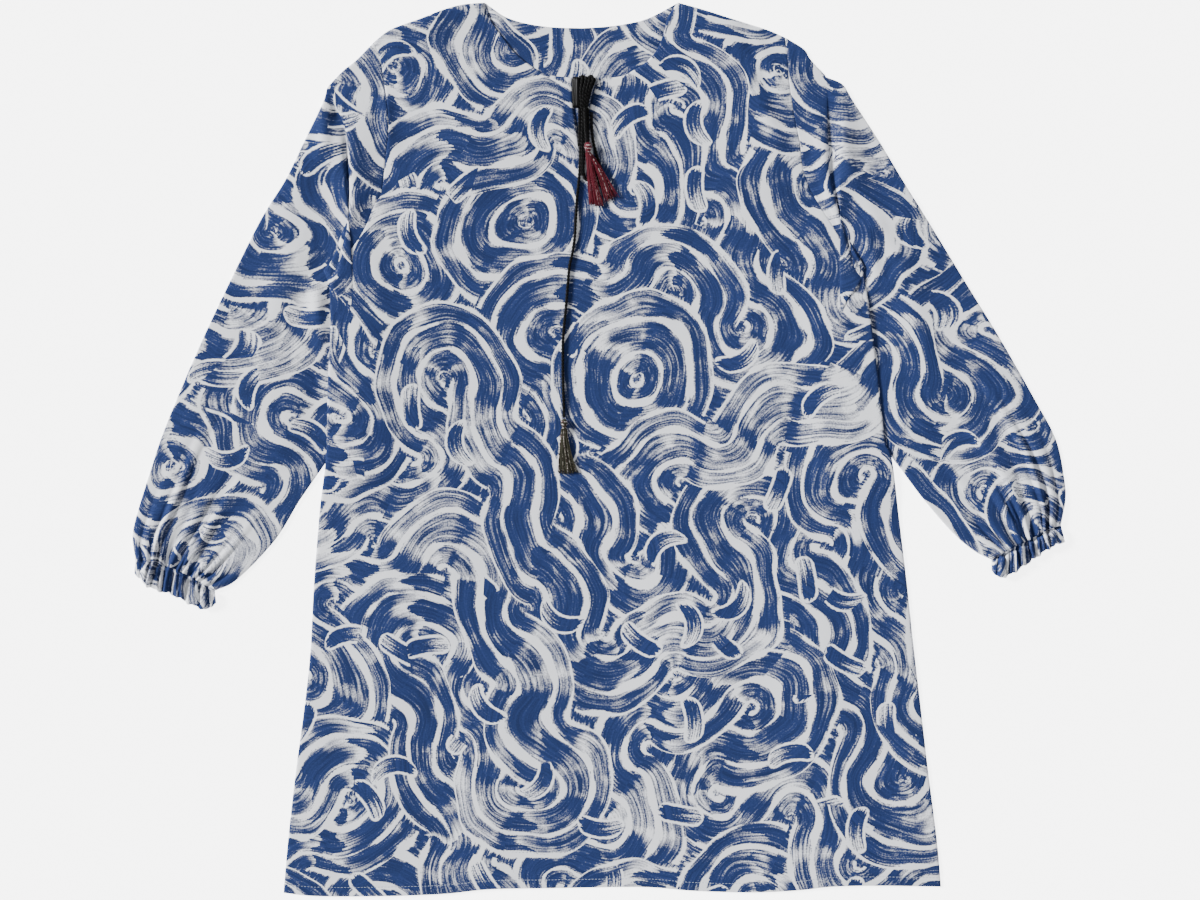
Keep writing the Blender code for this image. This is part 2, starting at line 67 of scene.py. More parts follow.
def smoothLine(points, steps=16):
    # a Catmull-Rom curve through the given points
    p = np.array(points, float)
    p = np.vstack([2 * p[0] - p[1], p, 2 * p[-1] - p[-2]])
    a, b, c, d = p[:-3, None], p[1:-2, None], p[2:-1, None], p[3:, None]
    t = (np.arange(steps) / steps)[None, :, None]
    line = 0.5 * (2 * b + (c - a) * t + (2 * a - 5 * b + 4 * c - d) * t**2 + (3 * b - a - 3 * c + d) * t**3)
    return np.vstack([line.reshape(-1, p.shape[1]), p[-2]])


def lengths(vectors):
    return np.linalg.norm(vectors, axis=-1)


def reachAlong(line):
    # how far along a line each of its points is
    return np.concatenate([[0], np.cumsum(lengths(np.diff(line, axis=0)))])


def atShares(line, shares):
    reached = reachAlong(line)
    goals = np.clip(shares, 0, 1) * reached[-1]
    return np.stack([np.interp(goals, reached, line[:, k]) for k in range(line.shape[1])], 1)


def outline(points, shares):
    return atShares(smoothLine(points), shares)


def ease(start, end, value):
    # 0 before start, 1 after end, smooth between them; start may be the larger
    share = np.clip((value - start) / (end - start), 0, 1)
    return share * share * (3 - 2 * share)


def rounded(distance, radius):
    # rises from 0 at an edge to 1 at that radius from it, as a quarter of an ellipse
    share = np.clip(distance / radius, 0, 1)
    return np.sqrt(1 - (1 - share) ** 2)


def patch(near, far, left, right, rows, columns):
    # a grid of points that fills the space between four edges, rows running from near to far
    v = np.array(rows)[:, None, None]
    u = np.array(columns)[None, :, None]
    across = near[None] * (1 - v) + far[None] * v + left[:, None] * (1 - u) + right[:, None] * u
    corners = (near[0] * (1 - u) + near[-1] * u) * (1 - v) + (far[0] * (1 - u) + far[-1] * u) * v
    return across - corners


def unevenness(points, size, seed):
    # slow random waves over the cloth, each about that long, between -1 and 1
    flat = points[..., :2].reshape(-1, 2) / size
    waves = [noise.noise(Vector((x, y, seed))) for x, y in flat]
    return np.array(waves).reshape(points.shape[:-1])


def foldHeights(points, folds):
    # soft ridges and troughs; a fold's ends run out more slowly than its sides
    total = np.zeros(points.shape[:-1])
    for x0, y0, x1, y1, reach, height in folds:
        start = np.array((x0, y0), float)
        along = np.array((x1, y1), float) - start
        away = points[..., :2] - start
        share = (away @ along) / (along @ along)
        nearest = start + np.clip(share, 0, 1)[..., None] * along
        aside = lengths(points[..., :2] - nearest) / reach
        aside = np.where((share < 0) | (share > 1), aside * 0.6, aside)
        total += height * np.exp(-aside * aside)
    return total


def addPiece(name, mesh, materials, replaced=()):
    piece = bpy.data.objects.new(name, mesh)
    for finish in materials:
        mesh.materials.append(finish)
    bpy.context.scene.collection.objects.link(piece)
    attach(piece, "root")
    if replaced:
        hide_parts(*replaced)
    return piece


def clothMesh(name, points, grids):
    # each grid holds point numbers and the cloth's own flat coordinates at them, row by row
    faces = []
    flat = []
    for numbers, places in grids:
        corners = [(slice(0, -1), slice(0, -1)), (slice(0, -1), slice(1, None)),
                   (slice(1, None), slice(1, None)), (slice(1, None), slice(0, -1))]
        faces.append(np.stack([numbers[a] for a in corners], -1).reshape(-1, 4))
        flat.append(np.stack([places[a] for a in corners], -2).reshape(-1, 2))
    mesh = bpy.data.meshes.new(name)
    mesh.from_pydata((points.reshape(-1, 3) * mm).tolist(), [], np.vstack(faces).tolist())
    layer = mesh.uv_layers.new(name="flatCloth")
    layer.data.foreach_set("uv", (np.vstack(flat) * mm).ravel())
    mesh.shade_smooth()
    return mesh


def sideAndUp(line):
    # unit vectors to the side of a line of points and up from it
    way = np.gradient(line, axis=0)
    way /= lengths(way)[:, None]
    side = np.cross(way, (0, 0, 1.0))
    side /= np.maximum(lengths(side), 1e-6)[:, None]
    return side, np.cross(side, way)


def tubeMesh(name, lines, radii, sides, finishes=None):
    # round tubes along lines of points, joined in one mesh, each with its own sides and its ends closed
    points = []
    faces = []
    finish = []
    count = 0
    for number, (line, radius) in enumerate(zip(lines, radii)):
        around = sides[number]
        turn = np.arange(around) * 2 * math.pi / around
        side, up = sideAndUp(line)
        thick = np.broadcast_to(radius, len(line))[:, None, None]
        ring = side[:, None] * np.cos(turn)[None, :, None] + up[:, None] * np.sin(turn)[None, :, None]
        points.append((line[:, None] + ring * thick).reshape(-1, 3))
        numbers = count + np.arange(len(line) * around).reshape(-1, around)
        after = np.roll(numbers, -1, axis=1)
        quads = np.stack([numbers[:-1], after[:-1], after[1:], numbers[1:]], -1).reshape(-1, 4).tolist()
        faces += quads + [numbers[0][::-1].tolist(), numbers[-1].tolist()]
        finish += [finishes[number] if finishes else 0] * (len(quads) + 2)
        count += len(line) * around
    mesh = bpy.data.meshes.new(name)
    mesh.from_pydata((np.vstack(points) * mm).tolist(), [], faces)
    mesh.polygons.foreach_set("material_index", finish)
    mesh.shade_smooth()
    return mesh


# Materials


def linearColour(code):
    # an sRGB hex colour as linear red, green, blue and alpha
    shares = [int(code[k:k + 2], 16) / 255 for k in (1, 3, 5)]
    return tuple(c / 12.92 if c <= 0.04045 else ((c + 0.055) / 1.055) ** 2.4 for c in shares) + (1,)


def addNode(tree, kind, inputs=(), out=0, **settings):
    # adds a node, fills its sockets with values or links, and gives one or several of its outputs;
    # the kind may be followed by the operation that the node carries out
    kind, _, operation = kind.partition(" ")
    node = tree.nodes.new("ShaderNode" + kind)
    if operation:
        node.operation = operation
    for name, value in settings.items():
        setattr(node, name, value)
    for key, value in (inputs.items() if isinstance(inputs, dict) else enumerate(inputs)):
        if isinstance(value, bpy.types.NodeSocket):
            tree.links.new(value, node.inputs[key])
        else:
            node.inputs[key].default_value = value
    if isinstance(out, tuple):
        return [node.outputs[number] for number in out]
    return node.outputs[out] if len(node.outputs) else None


def startMaterial(name):
    # an empty material and what adds nodes to it
    material = bpy.data.materials.new(name)
    material.use_nodes = True
    material.node_tree.nodes.clear()
    return material, partial(addNode, material.node_tree)


printSettings = {
    "ground": "#E1E3E9",     # undyed off-white cloth
    "ink": "#233361",        # blue of a full brush
    "inkDeep": "#19274C",    # blue where the paint lay thickest
    "tile": 80,              # square that holds two quarter rings of strokes
    "turn": 0.44,            # radians, so the squares don't line up with the garment
    "drift": 34,             # how far the hand strays from true rings, and over what length
    "driftSize": 150,
    "broad": 12.2,           # half width of the middle stroke
    "fuller": 1.5,           # by which it may be wider or narrower
    "narrow": 7.8,           # half width of the strokes beside it
    "narrowAt": 25.0,        # from the middle stroke's middle to theirs
    "dot": 4.8,              # radius of the dab in each ring's middle
    "bare": 2.8,             # bare cloth round a whole ring, where the next ring's strokes break off
    "bristle": 1.9,          # spacing of the dry brush's streaks
    "streak": 42,            # length of those streaks
    "splay": 2.0,            # how far they pull a stroke's edge out or in at most
    "ragged": 2.6,           # size of the nicks in a stroke's edge, and their depth
    "nick": 0.9,
    "swell": 6.0,            # how far its edge moves out or in at most, and over what length
    "swellSize": 34,
    "grain": 1.5,            # size of the speckles that the cloth's own grain leaves, and their strength
    "grainPull": 0.2,
    "stagger": (0.23, 0.13),    # how often and how far bristles run dry before or after their neighbours
    "dashCell": 76,          # spacing of the short strokes painted between the long ones
    "dashLength": 13,        # their half length, to where an end rounds off
    "dashWidth": 6.8,        # their half width
    "dashGap": 2.8,          # bare cloth left round them
    "dashBend": 0.025,       # how much they bend, for each millimetre along
    "dashSplay": 7.0,        # how far their bristles pull the ends out or in
    "hiding": 2.3,           # power by which thin paint hides the cloth
    "yarn": 1.1,             # yarn spacing; the real 0.3 mm would not show
    "crumple": 50 / 3,       # size of the soft crumple
}
paintRanges = {
    # where a measure starts and ends, and the value at each: how dry the brush is, then how much ink shows
    "dryEnd": (0.2, 0.86, 0.0, 0.74),      # by share of the stroke painted
    "liftOff": (0.86, 0.89, 1.0, 0.0),
    "dryStroke": (0.2, 1.0, 0.0, 0.34),    # by the ring's chance
    "dryEdge": (0.0, 5.0, 0.42, 0.16),     # by millimetres inside the edge
    "dryPatch": (0.50, 0.76, 0.0, 0.30),   # by a slow noise
    "inSquare": (0.32, 0.5, 1.0, 0.0),     # strokes are wet where they pass from square to square
    "film": (-0.25, 0.0, 0.0, 0.42),
    "wet": (-0.08, 0.21, 0.0, 0.58),
    "within": (-0.7, 0.6, 0.0, 1.0),
    "thick": (0.35, 0.7, 0.0, 1.0),
    "dashEdge": (-0.55, 0.55, 0.0, 1.0),
    "dashWet": (-0.12, 0.16, 0.0, 1.0),
}


def makePrintedCloth():
    # Viscose plain weave, printed: matte, soft, with dry-brushed blue strokes over an off-white ground.
    material, add = startMaterial("printedViscose")
    p = printSettings
    ranges = paintRanges
    tile = p["tile"]
    smooth = {"interpolation_type": "SMOOTHSTEP"}
    flat = add("UVMap", uv_map="flatCloth")

    def blotches(size, detail):
        # a noise over the cloth, its blotches that many millimetres long
        return add("TexNoise", {0: flat, "Scale": 1000 / size, "Detail": detail})

    def swing(value, reach):
        # a value from 0 to 1 as one that goes that far to either side of 0
        return add("Math MULTIPLY_ADD", [value, 2 * reach, -reach])

    def flip(value, when):
        # a share of the square, counted from the other side where the condition holds
        away = add("Math SUBTRACT", [1.0, value])
        return add("Mix", {0: when, 2: value, 3: away})

    def bristleStreaks(across, along, length, seed):
        # fine across the stroke and long along it, broken up by the grain
        bristles = add("Math MULTIPLY", [across, 1 / p["bristle"]])
        sweep = add("Math MULTIPLY", [along, length / p["streak"]])
        place = add("CombineXYZ", [bristles, sweep, seed])
        streaks = add("TexNoise", {0: place, "Scale": 1.0, "Detail": 2.0, "Roughness": 0.6})
        return add("Math ADD", [streaks, grain])

    nicks = swing(blotches(p["ragged"], 2.0), p["nick"])
    swell = swing(blotches(p["swellSize"], 1.0), p["swell"])
    grain = swing(blotches(p["grain"], 1.0), p["grainPull"])
    place = add("Mapping", {0: flat, 2: (0, 0, p["turn"]), 3: (1000 / tile,) * 3})
    drift = add("TexNoise", {0: place, "Scale": tile / p["driftSize"], "Detail": 2.0}, out=1)
    drift = add("VectorMath SUBTRACT", [drift, (0.5, 0.5, 0.5)])
    shift = p["drift"] / tile * 2
    drift = add("VectorMath MULTIPLY", [drift, (shift, shift, 0)])
    strayed = add("VectorMath ADD", [place, drift])
    strayed = add("VectorMath MULTIPLY", [strayed, (1, 1, 0)])

    # Each square is mirrored and turned by chance. One of its two quarter rings is whole, and the other
    # one passes under it
    cell = add("VectorMath FLOOR", [strayed])
    inside = add("VectorMath SUBTRACT", [strayed, cell])
    chance, chances = add("TexWhiteNoise", [cell], out=(0, 1))
    mirrored = add("Math GREATER_THAN", [chance, 0.5])
    turned = add("SeparateXYZ", [chances], out=1)
    turned = add("Math GREATER_THAN", [turned, 0.5])
    x, y = add("SeparateXYZ", [inside], out=(0, 1))
    x = flip(flip(x, mirrored), turned)
    y = flip(y, turned)
    reach = tile / 2 + p["narrowAt"] + p["narrow"] + p["bare"]
    corner = add("CombineXYZ", [x, y, 0.0])
    fromCorner = add("VectorMath LENGTH", [corner], out=1)
    farRing = add("Math GREATER_THAN", [fromCorner, reach / tile])
    x = flip(x, farRing)
    y = flip(y, farRing)
    ringId = add("CombineXYZ", {2: farRing})
    ringId = add("VectorMath ADD", [cell, ringId])
    chances = add("TexWhiteNoise", [ringId], out=1)
    chanceA, chanceB, chanceC = add("SeparateXYZ", [chances], out=(0, 1, 2))

    # Distance from the ring's middle in millimetres, and share of the quarter ring that is swept
    square = add("CombineXYZ", [x, y, 0.0])
    ring = add("VectorMath LENGTH", [square], out=1)
    ring = add("Math MULTIPLY", [ring, tile])
    swept = add("Math ARCTAN2", [y, x])
    swept = add("Math MULTIPLY", [swept, 2 / math.pi])
    aside = add("Math SUBTRACT", [ring, tile / 2])
    aside = add("Math ABSOLUTE", [aside])

    # How far inside a stroke's edge a point is. The next ring's strokes break off short of the whole
    # ring, and the brush is pressed harder in some places, which widens a stroke
    farOff = 100.0    # more than any distance in a square
    broad = add("Math SUBTRACT", [p["broad"], aside])
    broad = add("Math ADD", [broad, swing(chanceA, p["fuller"])])
    beside = add("Math SUBTRACT", [aside, p["narrowAt"]])
    beside = add("Math ABSOLUTE", [beside])
    narrow = add("Math SUBTRACT", [p["narrow"], beside])
    dab = add("Math SUBTRACT", [p["dot"], ring])
    wholeRing = add("Math SUBTRACT", [1.0, farRing])
    between = add("Math SUBTRACT", [ring, tile / 2 + p["narrowAt"]])
    between = add("Math MULTIPLY_ADD", [wholeRing, -farOff, between])
    short = add("Math ADD", [fromCorner, -reach / tile])
    short = add("Math MULTIPLY", [short, tile])
    short = add("Math MULTIPLY_ADD", [wholeRing, farOff, short])
    seed = add("Math MULTIPLY", [chanceB, 40.0])
    streaks = bristleStreaks(ring, swept, tile * math.pi / 4, seed)
    cover = broad
    for operation, other in (("MAXIMUM", narrow), ("MAXIMUM", dab), ("MAXIMUM", between), ("MINIMUM", short),
                             ("ADD", nicks), ("ADD", swell), ("ADD", swing(streaks, p["splay"]))):
        cover = add("Math " + operation, [cover, other])

    # The brush runs dry inside the square, lifts off, and a full one goes on
    backwards = add("Math GREATER_THAN", [chanceC, 0.5])
    painted = flip(swept, backwards)
    edgeShare = add("Math ADD", [painted, -0.5])
    edgeShare = add("Math ABSOLUTE", [edgeShare])
    inSquare = add("MapRange", [edgeShare, *ranges["inSquare"]], **smooth)
    often, far = p["stagger"]
    stagger = add("Math MULTIPLY_ADD", [ring, often, seed])
    stagger = add("Math SINE", [stagger])
    painted = add("Math MULTIPLY_ADD", [stagger, far, painted])
    painted = add("Math MULTIPLY_ADD", [streaks, 0.22, painted])
    dryEnd = add("MapRange", [painted, *ranges["dryEnd"]], **smooth)
    runsDry = add("Math MULTIPLY_ADD", [chanceA, 0.7, 0.3])
    liftOff = add("MapRange", [painted, *ranges["liftOff"]])
    for share in (runsDry, liftOff, inSquare):
        dryEnd = add("Math MULTIPLY", [dryEnd, share])
    dryStroke = add("MapRange", [chanceC, *ranges["dryStroke"]])
    dryStroke = add("Math MULTIPLY_ADD", [dryStroke, inSquare, 0.20])
    dryEdge = add("MapRange", [cover, *ranges["dryEdge"]], **smooth)
    patches = add("TexNoise", {0: place, "Scale": 3.2, "Detail": 2.0})
    dryPatch = add("MapRange", [patches, *ranges["dryPatch"]])
    dry = add("Math MAXIMUM", [dryEnd, dryEdge])
    dry = add("Math MAXIMUM", [dry, dryStroke])
    dry = add("Math ADD", [dry, dryPatch])
    wet = add("Math SUBTRACT", [streaks, dry])
    # a nearly dry brush still leaves a thin grey-blue film
    film = add("MapRange", [wet, *ranges["film"]])
    wet = add("MapRange", [wet, *ranges["wet"]], **smooth)
    wet = add("Math ADD", [wet, film])
    within = add("MapRange", [cover, *ranges["within"]], **smooth)
    inked = add("Math MULTIPLY", [wet, within])

    # Short strokes between the long ones, each bent and turned its own way with bare cloth round it
    dashes = {0: flat, "Scale": 1000 / p["dashCell"], "Randomness": 0.85}
    chances, dashMiddle = add("TexVoronoi", dashes, out=(1, 2))
    dashTurn, dashBend, dashThere = add("SeparateXYZ", [chances], out=(0, 1, 2))
    fromDash = add("VectorMath SUBTRACT", [flat, dashMiddle])
    fromDash = add("VectorMath SCALE", {0: fromDash, "Scale": 1000.0})
    dashTurn = add("Math MULTIPLY", [dashTurn, 2 * math.pi])
    fromDash = add("VectorRotate", {0: fromDash, "Angle": dashTurn}, rotation_type="Z_AXIS")
    dashAlong, dashAside = add("SeparateXYZ", [fromDash], out=(0, 1))
    bend = add("Math MULTIPLY", [swing(dashBend, p["dashBend"]), dashAlong])
    dashAside = add("Math MULTIPLY_ADD", [bend, dashAlong, dashAside])
    dashStreaks = bristleStreaks(dashAside, dashAlong, 1, dashTurn)
    ends = add("Math ABSOLUTE", [dashAlong])
    ends = add("Math SUBTRACT", [ends, p["dashLength"]])
    raggedEnds = add("Math ADD", [ends, swing(dashStreaks, -p["dashSplay"])])
    roundEnds = []
    for pastEnd in (raggedEnds, ends):
        pastEnd = add("Math MAXIMUM", [pastEnd, 0.0])
        fromLine = add("CombineXYZ", [pastEnd, dashAside, 0.0])
        fromLine = add("VectorMath LENGTH", [fromLine], out=1)
        inDash = add("Math SUBTRACT", [p["dashWidth"], fromLine])
        roundEnds.append(add("Math ADD", [inDash, nicks]))
    dash, apart = roundEnds
    apart = add("MapRange", [apart, -p["dashGap"] - 0.4, -p["dashGap"] + 0.4, 1.0, 0.0])
    there = add("Math GREATER_THAN", [dashThere, 0.5])
    absent = add("Math SUBTRACT", [1.0, there])
    apart = add("Math MAXIMUM", [apart, absent])
    dashDry = add("MapRange", [dashAlong, -p["dashLength"], p["dashLength"], 0.2, 0.5])
    dashWet = add("Math SUBTRACT", [dashStreaks, dashDry])
    dashWet = add("MapRange", [dashWet, *ranges["dashWet"]], **smooth)
    dash = add("MapRange", [dash, *ranges["dashEdge"]], **smooth)
    for share in (dashWet, there):
        dash = add("Math MULTIPLY", [dash, share])
    inked = add("Math MULTIPLY", [inked, apart])
    inked = add("Math MAXIMUM", [inked, dash])

    # Thin paint hides the cloth quickly, so its tone goes by a power of the cloth that is left bare
    thick = add("MapRange", [streaks, *ranges["thick"]])
    blue = add("Mix", {0: thick, 6: linearColour(p["ink"]), 7: linearColour(p["inkDeep"])},
               out=2, data_type="RGBA")
    bareShare = add("Math SUBTRACT", [1.0, inked])
    bareShare = add("Math POWER", [bareShare, p["hiding"]])
    colour = add("Mix", {0: bareShare, 6: blue, 7: linearColour(p["ground"])}, out=2, data_type="RGBA")

    # Yarns across and along, and a soft crumple
    yarns = add("Mapping", {0: flat, 3: (1000 / p["yarn"],) * 3})
    waves = {0: yarns, "Scale": 0.5, "Distortion": 0.4}
    warp, weft = [add("TexWave", waves, out=1, bands_direction=way) for way in "XY"]
    weave = add("Math ADD", [warp, weft])
    bump = add("Bump", {"Height": weave, "Strength": 0.12, "Distance": 0.0002})
    crumple = blotches(p["crumple"], 3.0)
    bump = add("Bump", {"Height": crumple, "Strength": 0.10, "Distance": 0.004, "Normal": bump})
    shader = add("BsdfPrincipled", {
        "Base Color": colour, "Roughness": 0.85, "Specular IOR Level": 0.12, "Sheen Weight": 0.03,
        "Sheen Roughness": 0.5, "Normal": bump})
    add("OutputMaterial", [shader])
    return material


def makeYarn(name, colour, light, fibre, roughness, gloss, sheen):
    # Spun yarn: soft sheen on the crown of each strand; darker in the low places between its fibres, partly
    # fibre tone and partly painted shade.
    material, add = startMaterial(name)
    place = add("TexCoord", out=3)
    fibresAndShade = add("TexNoise", {0: place, "Scale": 1000 / fibre, "Detail": 3.0, "Roughness": 0.65})
    # painted shade: the darker colour goes where the fibre bump is low, the lighter one on raised fibres
    mixed = add("Mix", {0: fibresAndShade, 6: linearColour(colour), 7: linearColour(light)},
                    out=2, data_type="RGBA")
    bump = add("Bump", {"Height": fibresAndShade, "Strength": 0.35, "Distance": 0.0004})
    shader = add("BsdfPrincipled", {
        "Base Color": mixed, "Roughness": roughness, "Specular IOR Level": gloss, "Sheen Weight": sheen,
        "Sheen Roughness": 0.35, "Normal": bump})
    add("OutputMaterial", [shader])
    return material


def makeMetallicThread(name, colour, core, glint):
    # Metallised film wound round a dark core: a noise shows the film's pale metal only in short spots,
    # painted glints that are set by the noise and not by the light.
    material, add = startMaterial(name)
    place = add("TexCoord", out=3)
    glints = add("TexNoise", {0: place, "Scale": 1000 / glint, "Detail": 1.0})
    # painted glints: the pale film colour shows only where the noise is high, on the bump's raised spots
    film = add("MapRange", [glints, 0.50, 0.57, 0.0, 1.0])
    mixed = add("Mix", {0: film, 6: linearColour(core), 7: linearColour(colour)},
                    out=2, data_type="RGBA")
    bump = add("Bump", {"Height": glints, "Strength": 0.4, "Distance": 0.0006})
    shader = add("BsdfPrincipled", {
        "Base Color": mixed, "Metallic": 0.85, "Roughness": 0.3, "Normal": bump})
    add("OutputMaterial", [shader])
    return material


printedCloth = makePrintedCloth()
blackCord = makeYarn("blackViscoseCord", "#010102", "#070708", 0.5, 0.5, 0.16, 0.0)
blackSatin = makeYarn("blackViscoseSatin", "#010102", "#040405", 0.9, 0.42, 0.11, 0.0)
maroonYarn = makeYarn("maroonCottonYarn", "#34020F", "#6A0622", 0.6, 0.7, 0.3, 0.05)
oliveYarn = makeYarn("oliveCottonYarn", "#1E1E16", "#444233", 0.6, 0.7, 0.3, 0.05)
paleThread = makeMetallicThread("paleMetallisedThread", "#F4ECE6", "#3A1C22", 1.5)
sewingThread = makeYarn("polyesterSewingThread", "#8C97AE", "#ABB4C4", 0.3, 0.6, 0.3, 0.1)
print("materials made")

# Tie: cords, loops, knot and tassels, lying on the front

onFront = 2.6  # level that the tie rests on
tieSettings = {"radius": 0.85, "offset": 0.72, "pitch": 7.0, "sides": 8, "step": 0.75, "diameter": 0.003}
longEnd = [(-17.5, 325.8, 1.5), (-17.8, 312, 1.5), (-17.6, 298, 1.5), (-17.8, 284, 1.5), (-18.4, 268, 1.5),
           (-19.6, 253, 1.5), (-21.2, 238, 1.5), (-22.2, 222, 1.5), (-23.2, 203, 1.5), (-25.4, 188, 1.5),
           (-28.2, 175, 1.5), (-29.8, 158, 1.5), (-31.2, 140, 1.5), (-33.2, 120, 1.5), (-34.4, 104, 1.5),
           (-34.6, 84, 1.5), (-34.4, 64, 1.5), (-33.8, 46, 1.5), (-33.5, 30.5, 1.8)]
# the last point is inside the tassel's head
shortEnd = [(-13.5, 325.8, 4.9), (-13.2, 315, 5.0), (-12.6, 304, 5.2), (-11.6, 294, 5.6), (-10.9, 289.6, 6.1),
            (-9.4, 282.0, 6.3)]
loops = {
    "left": [(-14.1, 325.8, 1.5), (-13.9, 310, 1.5), (-13.9, 294, 1.5), (-14.6, 278, 1.5), (-15.0, 266, 1.5),
             (-12.6, 257.5, 1.5), (-9.2, 261.5, 1.5), (-9.0, 272, 1.5), (-9.9, 284, 1.5), (-10.3, 297, 1.5),
             (-10.5, 312, 1.5), (-10.7, 325.8, 1.5)],
    "right": [(-7.1, 322.0, 1.5), (-6.9, 308, 1.5), (-5.6, 295, 1.5), (-2.4, 282, 1.5), (1.4, 270, 1.5),
              (5.0, 259, 1.5), (5.2, 253, 1.5), (1.6, 251.5, 1.5), (-1.4, 258, 1.5), (-4.0, 268, 1.5),
              (-5.6, 278.5, 1.5)],
}


def cordLine(route):
    # the cord's middle line above the floor, with a point every step
    line = smoothLine([(x, y, onFront + z) for x, y, z in route])
    count = max(8, round(reachAlong(line)[-1] / tieSettings["step"]))
    return atShares(line, np.linspace(0, 1, count + 1))


def twistedPlies(line, start=0.0, size=1.0):
    # two plies wound round the middle line
    side, up = sideAndUp(line)
    turn = reachAlong(line) * 2 * math.pi / tieSettings["pitch"] + start
    offset = tieSettings["offset"] * size
    return [line + offset * (side * np.cos(turn + half)[:, None] + up * np.sin(turn + half)[:, None])
            for half in (0, math.pi)]


def makeCordPiece(name, routes, replaced, size=1.0):
    lines = []
    for number, route in enumerate(routes):
        lines += twistedPlies(cordLine(route), start=1.3 * number, size=size)
    radii = [tieSettings["radius"] * size] * len(lines)
    mesh = tubeMesh(name, lines, radii, [tieSettings["sides"]] * len(lines))
    return addPiece(name, mesh, [blackCord], replaced)


longCord = makeCordPiece("tieLongEnd", [longEnd], ["tie_end_long"])
shortCord = makeCordPiece("tieShortEnd", [shortEnd], ["tie_end_short"])
for loopSide, loopRoute in loops.items():
    makeCordPiece(loopSide + "TieLoop", [loopRoute], ["tie_loop_" + loopSide])

# The knot: satin folded over on the left, and strands that fan out to the neck edge on the right
satinFolds = [
    # top x, waist x, foot x, top z, waist z, foot z, radius
    (-23.6, -24.0, -23.0, 1.7, 2.2, 2.0, 2.1),
    (-20.2, -20.2, -20.0, 2.4, 3.6, 2.8, 3.1),
    (-22.8, -22.6, -21.6, 2.9, 3.2, 2.9, 1.7),
]
knotTails = [
    # top x, foot x, z, foot y
    (-18.6, -18.9, 1.9, 290), (-15.4, -16.4, 2.1, 262), (-12.2, -12.0, 2.0, 296),
]
knotStrands = [
    # top x, waist x, foot x, top z, waist z, foot z, thickness against the cord's
    (-17.6, -18.2, -17.6, 1.8, 2.6, 1.8, 1.1),
    (-14.2, -15.2, -16.2, 1.6, 2.0, 1.6, 1.0),
    (-11.0, -12.8, -14.6, 1.6, 1.8, 1.5, 1.0),
    (-8.0, -10.4, -13.2, 1.6, 1.8, 1.5, 1.0),
    (-4.6, -8.2, -12.0, 1.6, 1.8, 1.4, 0.95),
    (-16.2, -17.4, -16.8, 4.2, 5.6, 4.4, 1.0),
    (-12.6, -14.6, -15.6, 4.4, 5.4, 4.4, 1.0),
    (-9.4, -12.0, -14.2, 4.2, 5.0, 4.2, 1.0),
    (-6.2, -9.6, -12.8, 3.6, 4.4, 3.8, 0.95),
]
knotPlaces = {"top": 356.6, "waist": 342.5, "foot": 325.2, "tailTop": 333.0, "uneven": 1.3}


def makeKnot():
    k = knotPlaces
    lines = []
    for number, (topX, waistX, footX, topZ, waistZ, footZ, size) in enumerate(knotStrands):
        lowered = k["uneven"] * math.sin(2.7 * number)
        top = k["top"] + lowered
        route = [(topX, top, topZ - 0.8), (topX, top - 4, topZ), (waistX, k["waist"], waistZ),
                 (footX, k["foot"] + lowered / 3, footZ)]
        lines += twistedPlies(cordLine(route), start=0.9 * number, size=size)
    radii = np.repeat([tieSettings["radius"] * strand[-1] for strand in knotStrands], 2).tolist()
    for number, (topX, footX, z, footY) in enumerate(knotTails):
        route = [(topX, k["tailTop"], z), (footX, footY, z - 0.3)]
        lines += twistedPlies(cordLine(route), start=2.1 * number)
        radii += [tieSettings["radius"]] * 2
    sides = [tieSettings["sides"]] * len(lines)
    finishes = [0] * len(lines)
    for topX, waistX, footX, topZ, waistZ, footZ, radius in satinFolds:
        route = [(topX, k["top"] - 0.6, topZ), (waistX, k["waist"], waistZ), (footX, k["foot"] + 0.8, footZ)]
        line = cordLine(route)
        shares = np.linspace(0, 1, len(line))
        lines.append(line)
        # full in the middle and rounded off at both ends
        radii.append(radius * (0.25 + 0.75 * rounded(np.minimum(shares, 1 - shares), 0.1)))
        sides.append(16)
        finishes.append(1)
    mesh = tubeMesh("tieKnot", lines, radii, sides, finishes)
    return addPiece("tieKnot", mesh, [blackCord, blackSatin], ["tie_knot"])


makeKnot()

tassels = {
    "maroon": {
        "top": (-10.6, 293.2), "neck": (-10.2, 282.4), "headRadius": 3.7, "high": 5.5, "low": 2.0,
        # strands, where the lock bends from and to, and where it ends from and to
        "locks": [(58, (-10.8, 262), (-4.5, 264), (-9.0, 232.6), (5.0, 232.0)),
                  (38, (-1.0, 270), (3.0, 271), (5.5, 235.0), (17.2, 241.4))],
        "uneven": 5.0, "strays": 5, "seed": 3,
    },
    "olive": {
        "top": (-33.4, 29.2), "neck": (-33.3, 19.4), "headRadius": 3.2, "high": 2.9, "low": 1.7,
        "locks": [(66, (-38.2, 4), (-29.8, 4), (-38.6, -23.6), (-20.0, -22.8))],
        "uneven": 3.5, "strays": 4, "seed": 8,
    },
}
headProfile = [
    # share of the head's length, share of its radius
    (0.00, 0.34), (0.05, 0.62), (0.16, 0.88), (0.36, 1.0), (0.56, 0.92), (0.72, 0.66), (0.82, 0.56),
    (0.90, 0.62), (1.00, 0.80),
]
tasselSettings = {
    "strandRadius": 0.34, "strandSides": 5, "steps": 14, "neckWidth": 4.6, "wrap": 0.75, "wrapDepth": 0.14,
    "metallicEvery": 8, "headSides": 20, "headSteps": 46, "filmTurns": 3.5, "filmRadius": 0.3,
    # how far strands stray at their ends, and lie above and below one another at the neck and the ends
    "stray": (4.5, 2.5), "rootSpread": 1.9, "endSpread": 1.3, "lowest": 0.35,
}


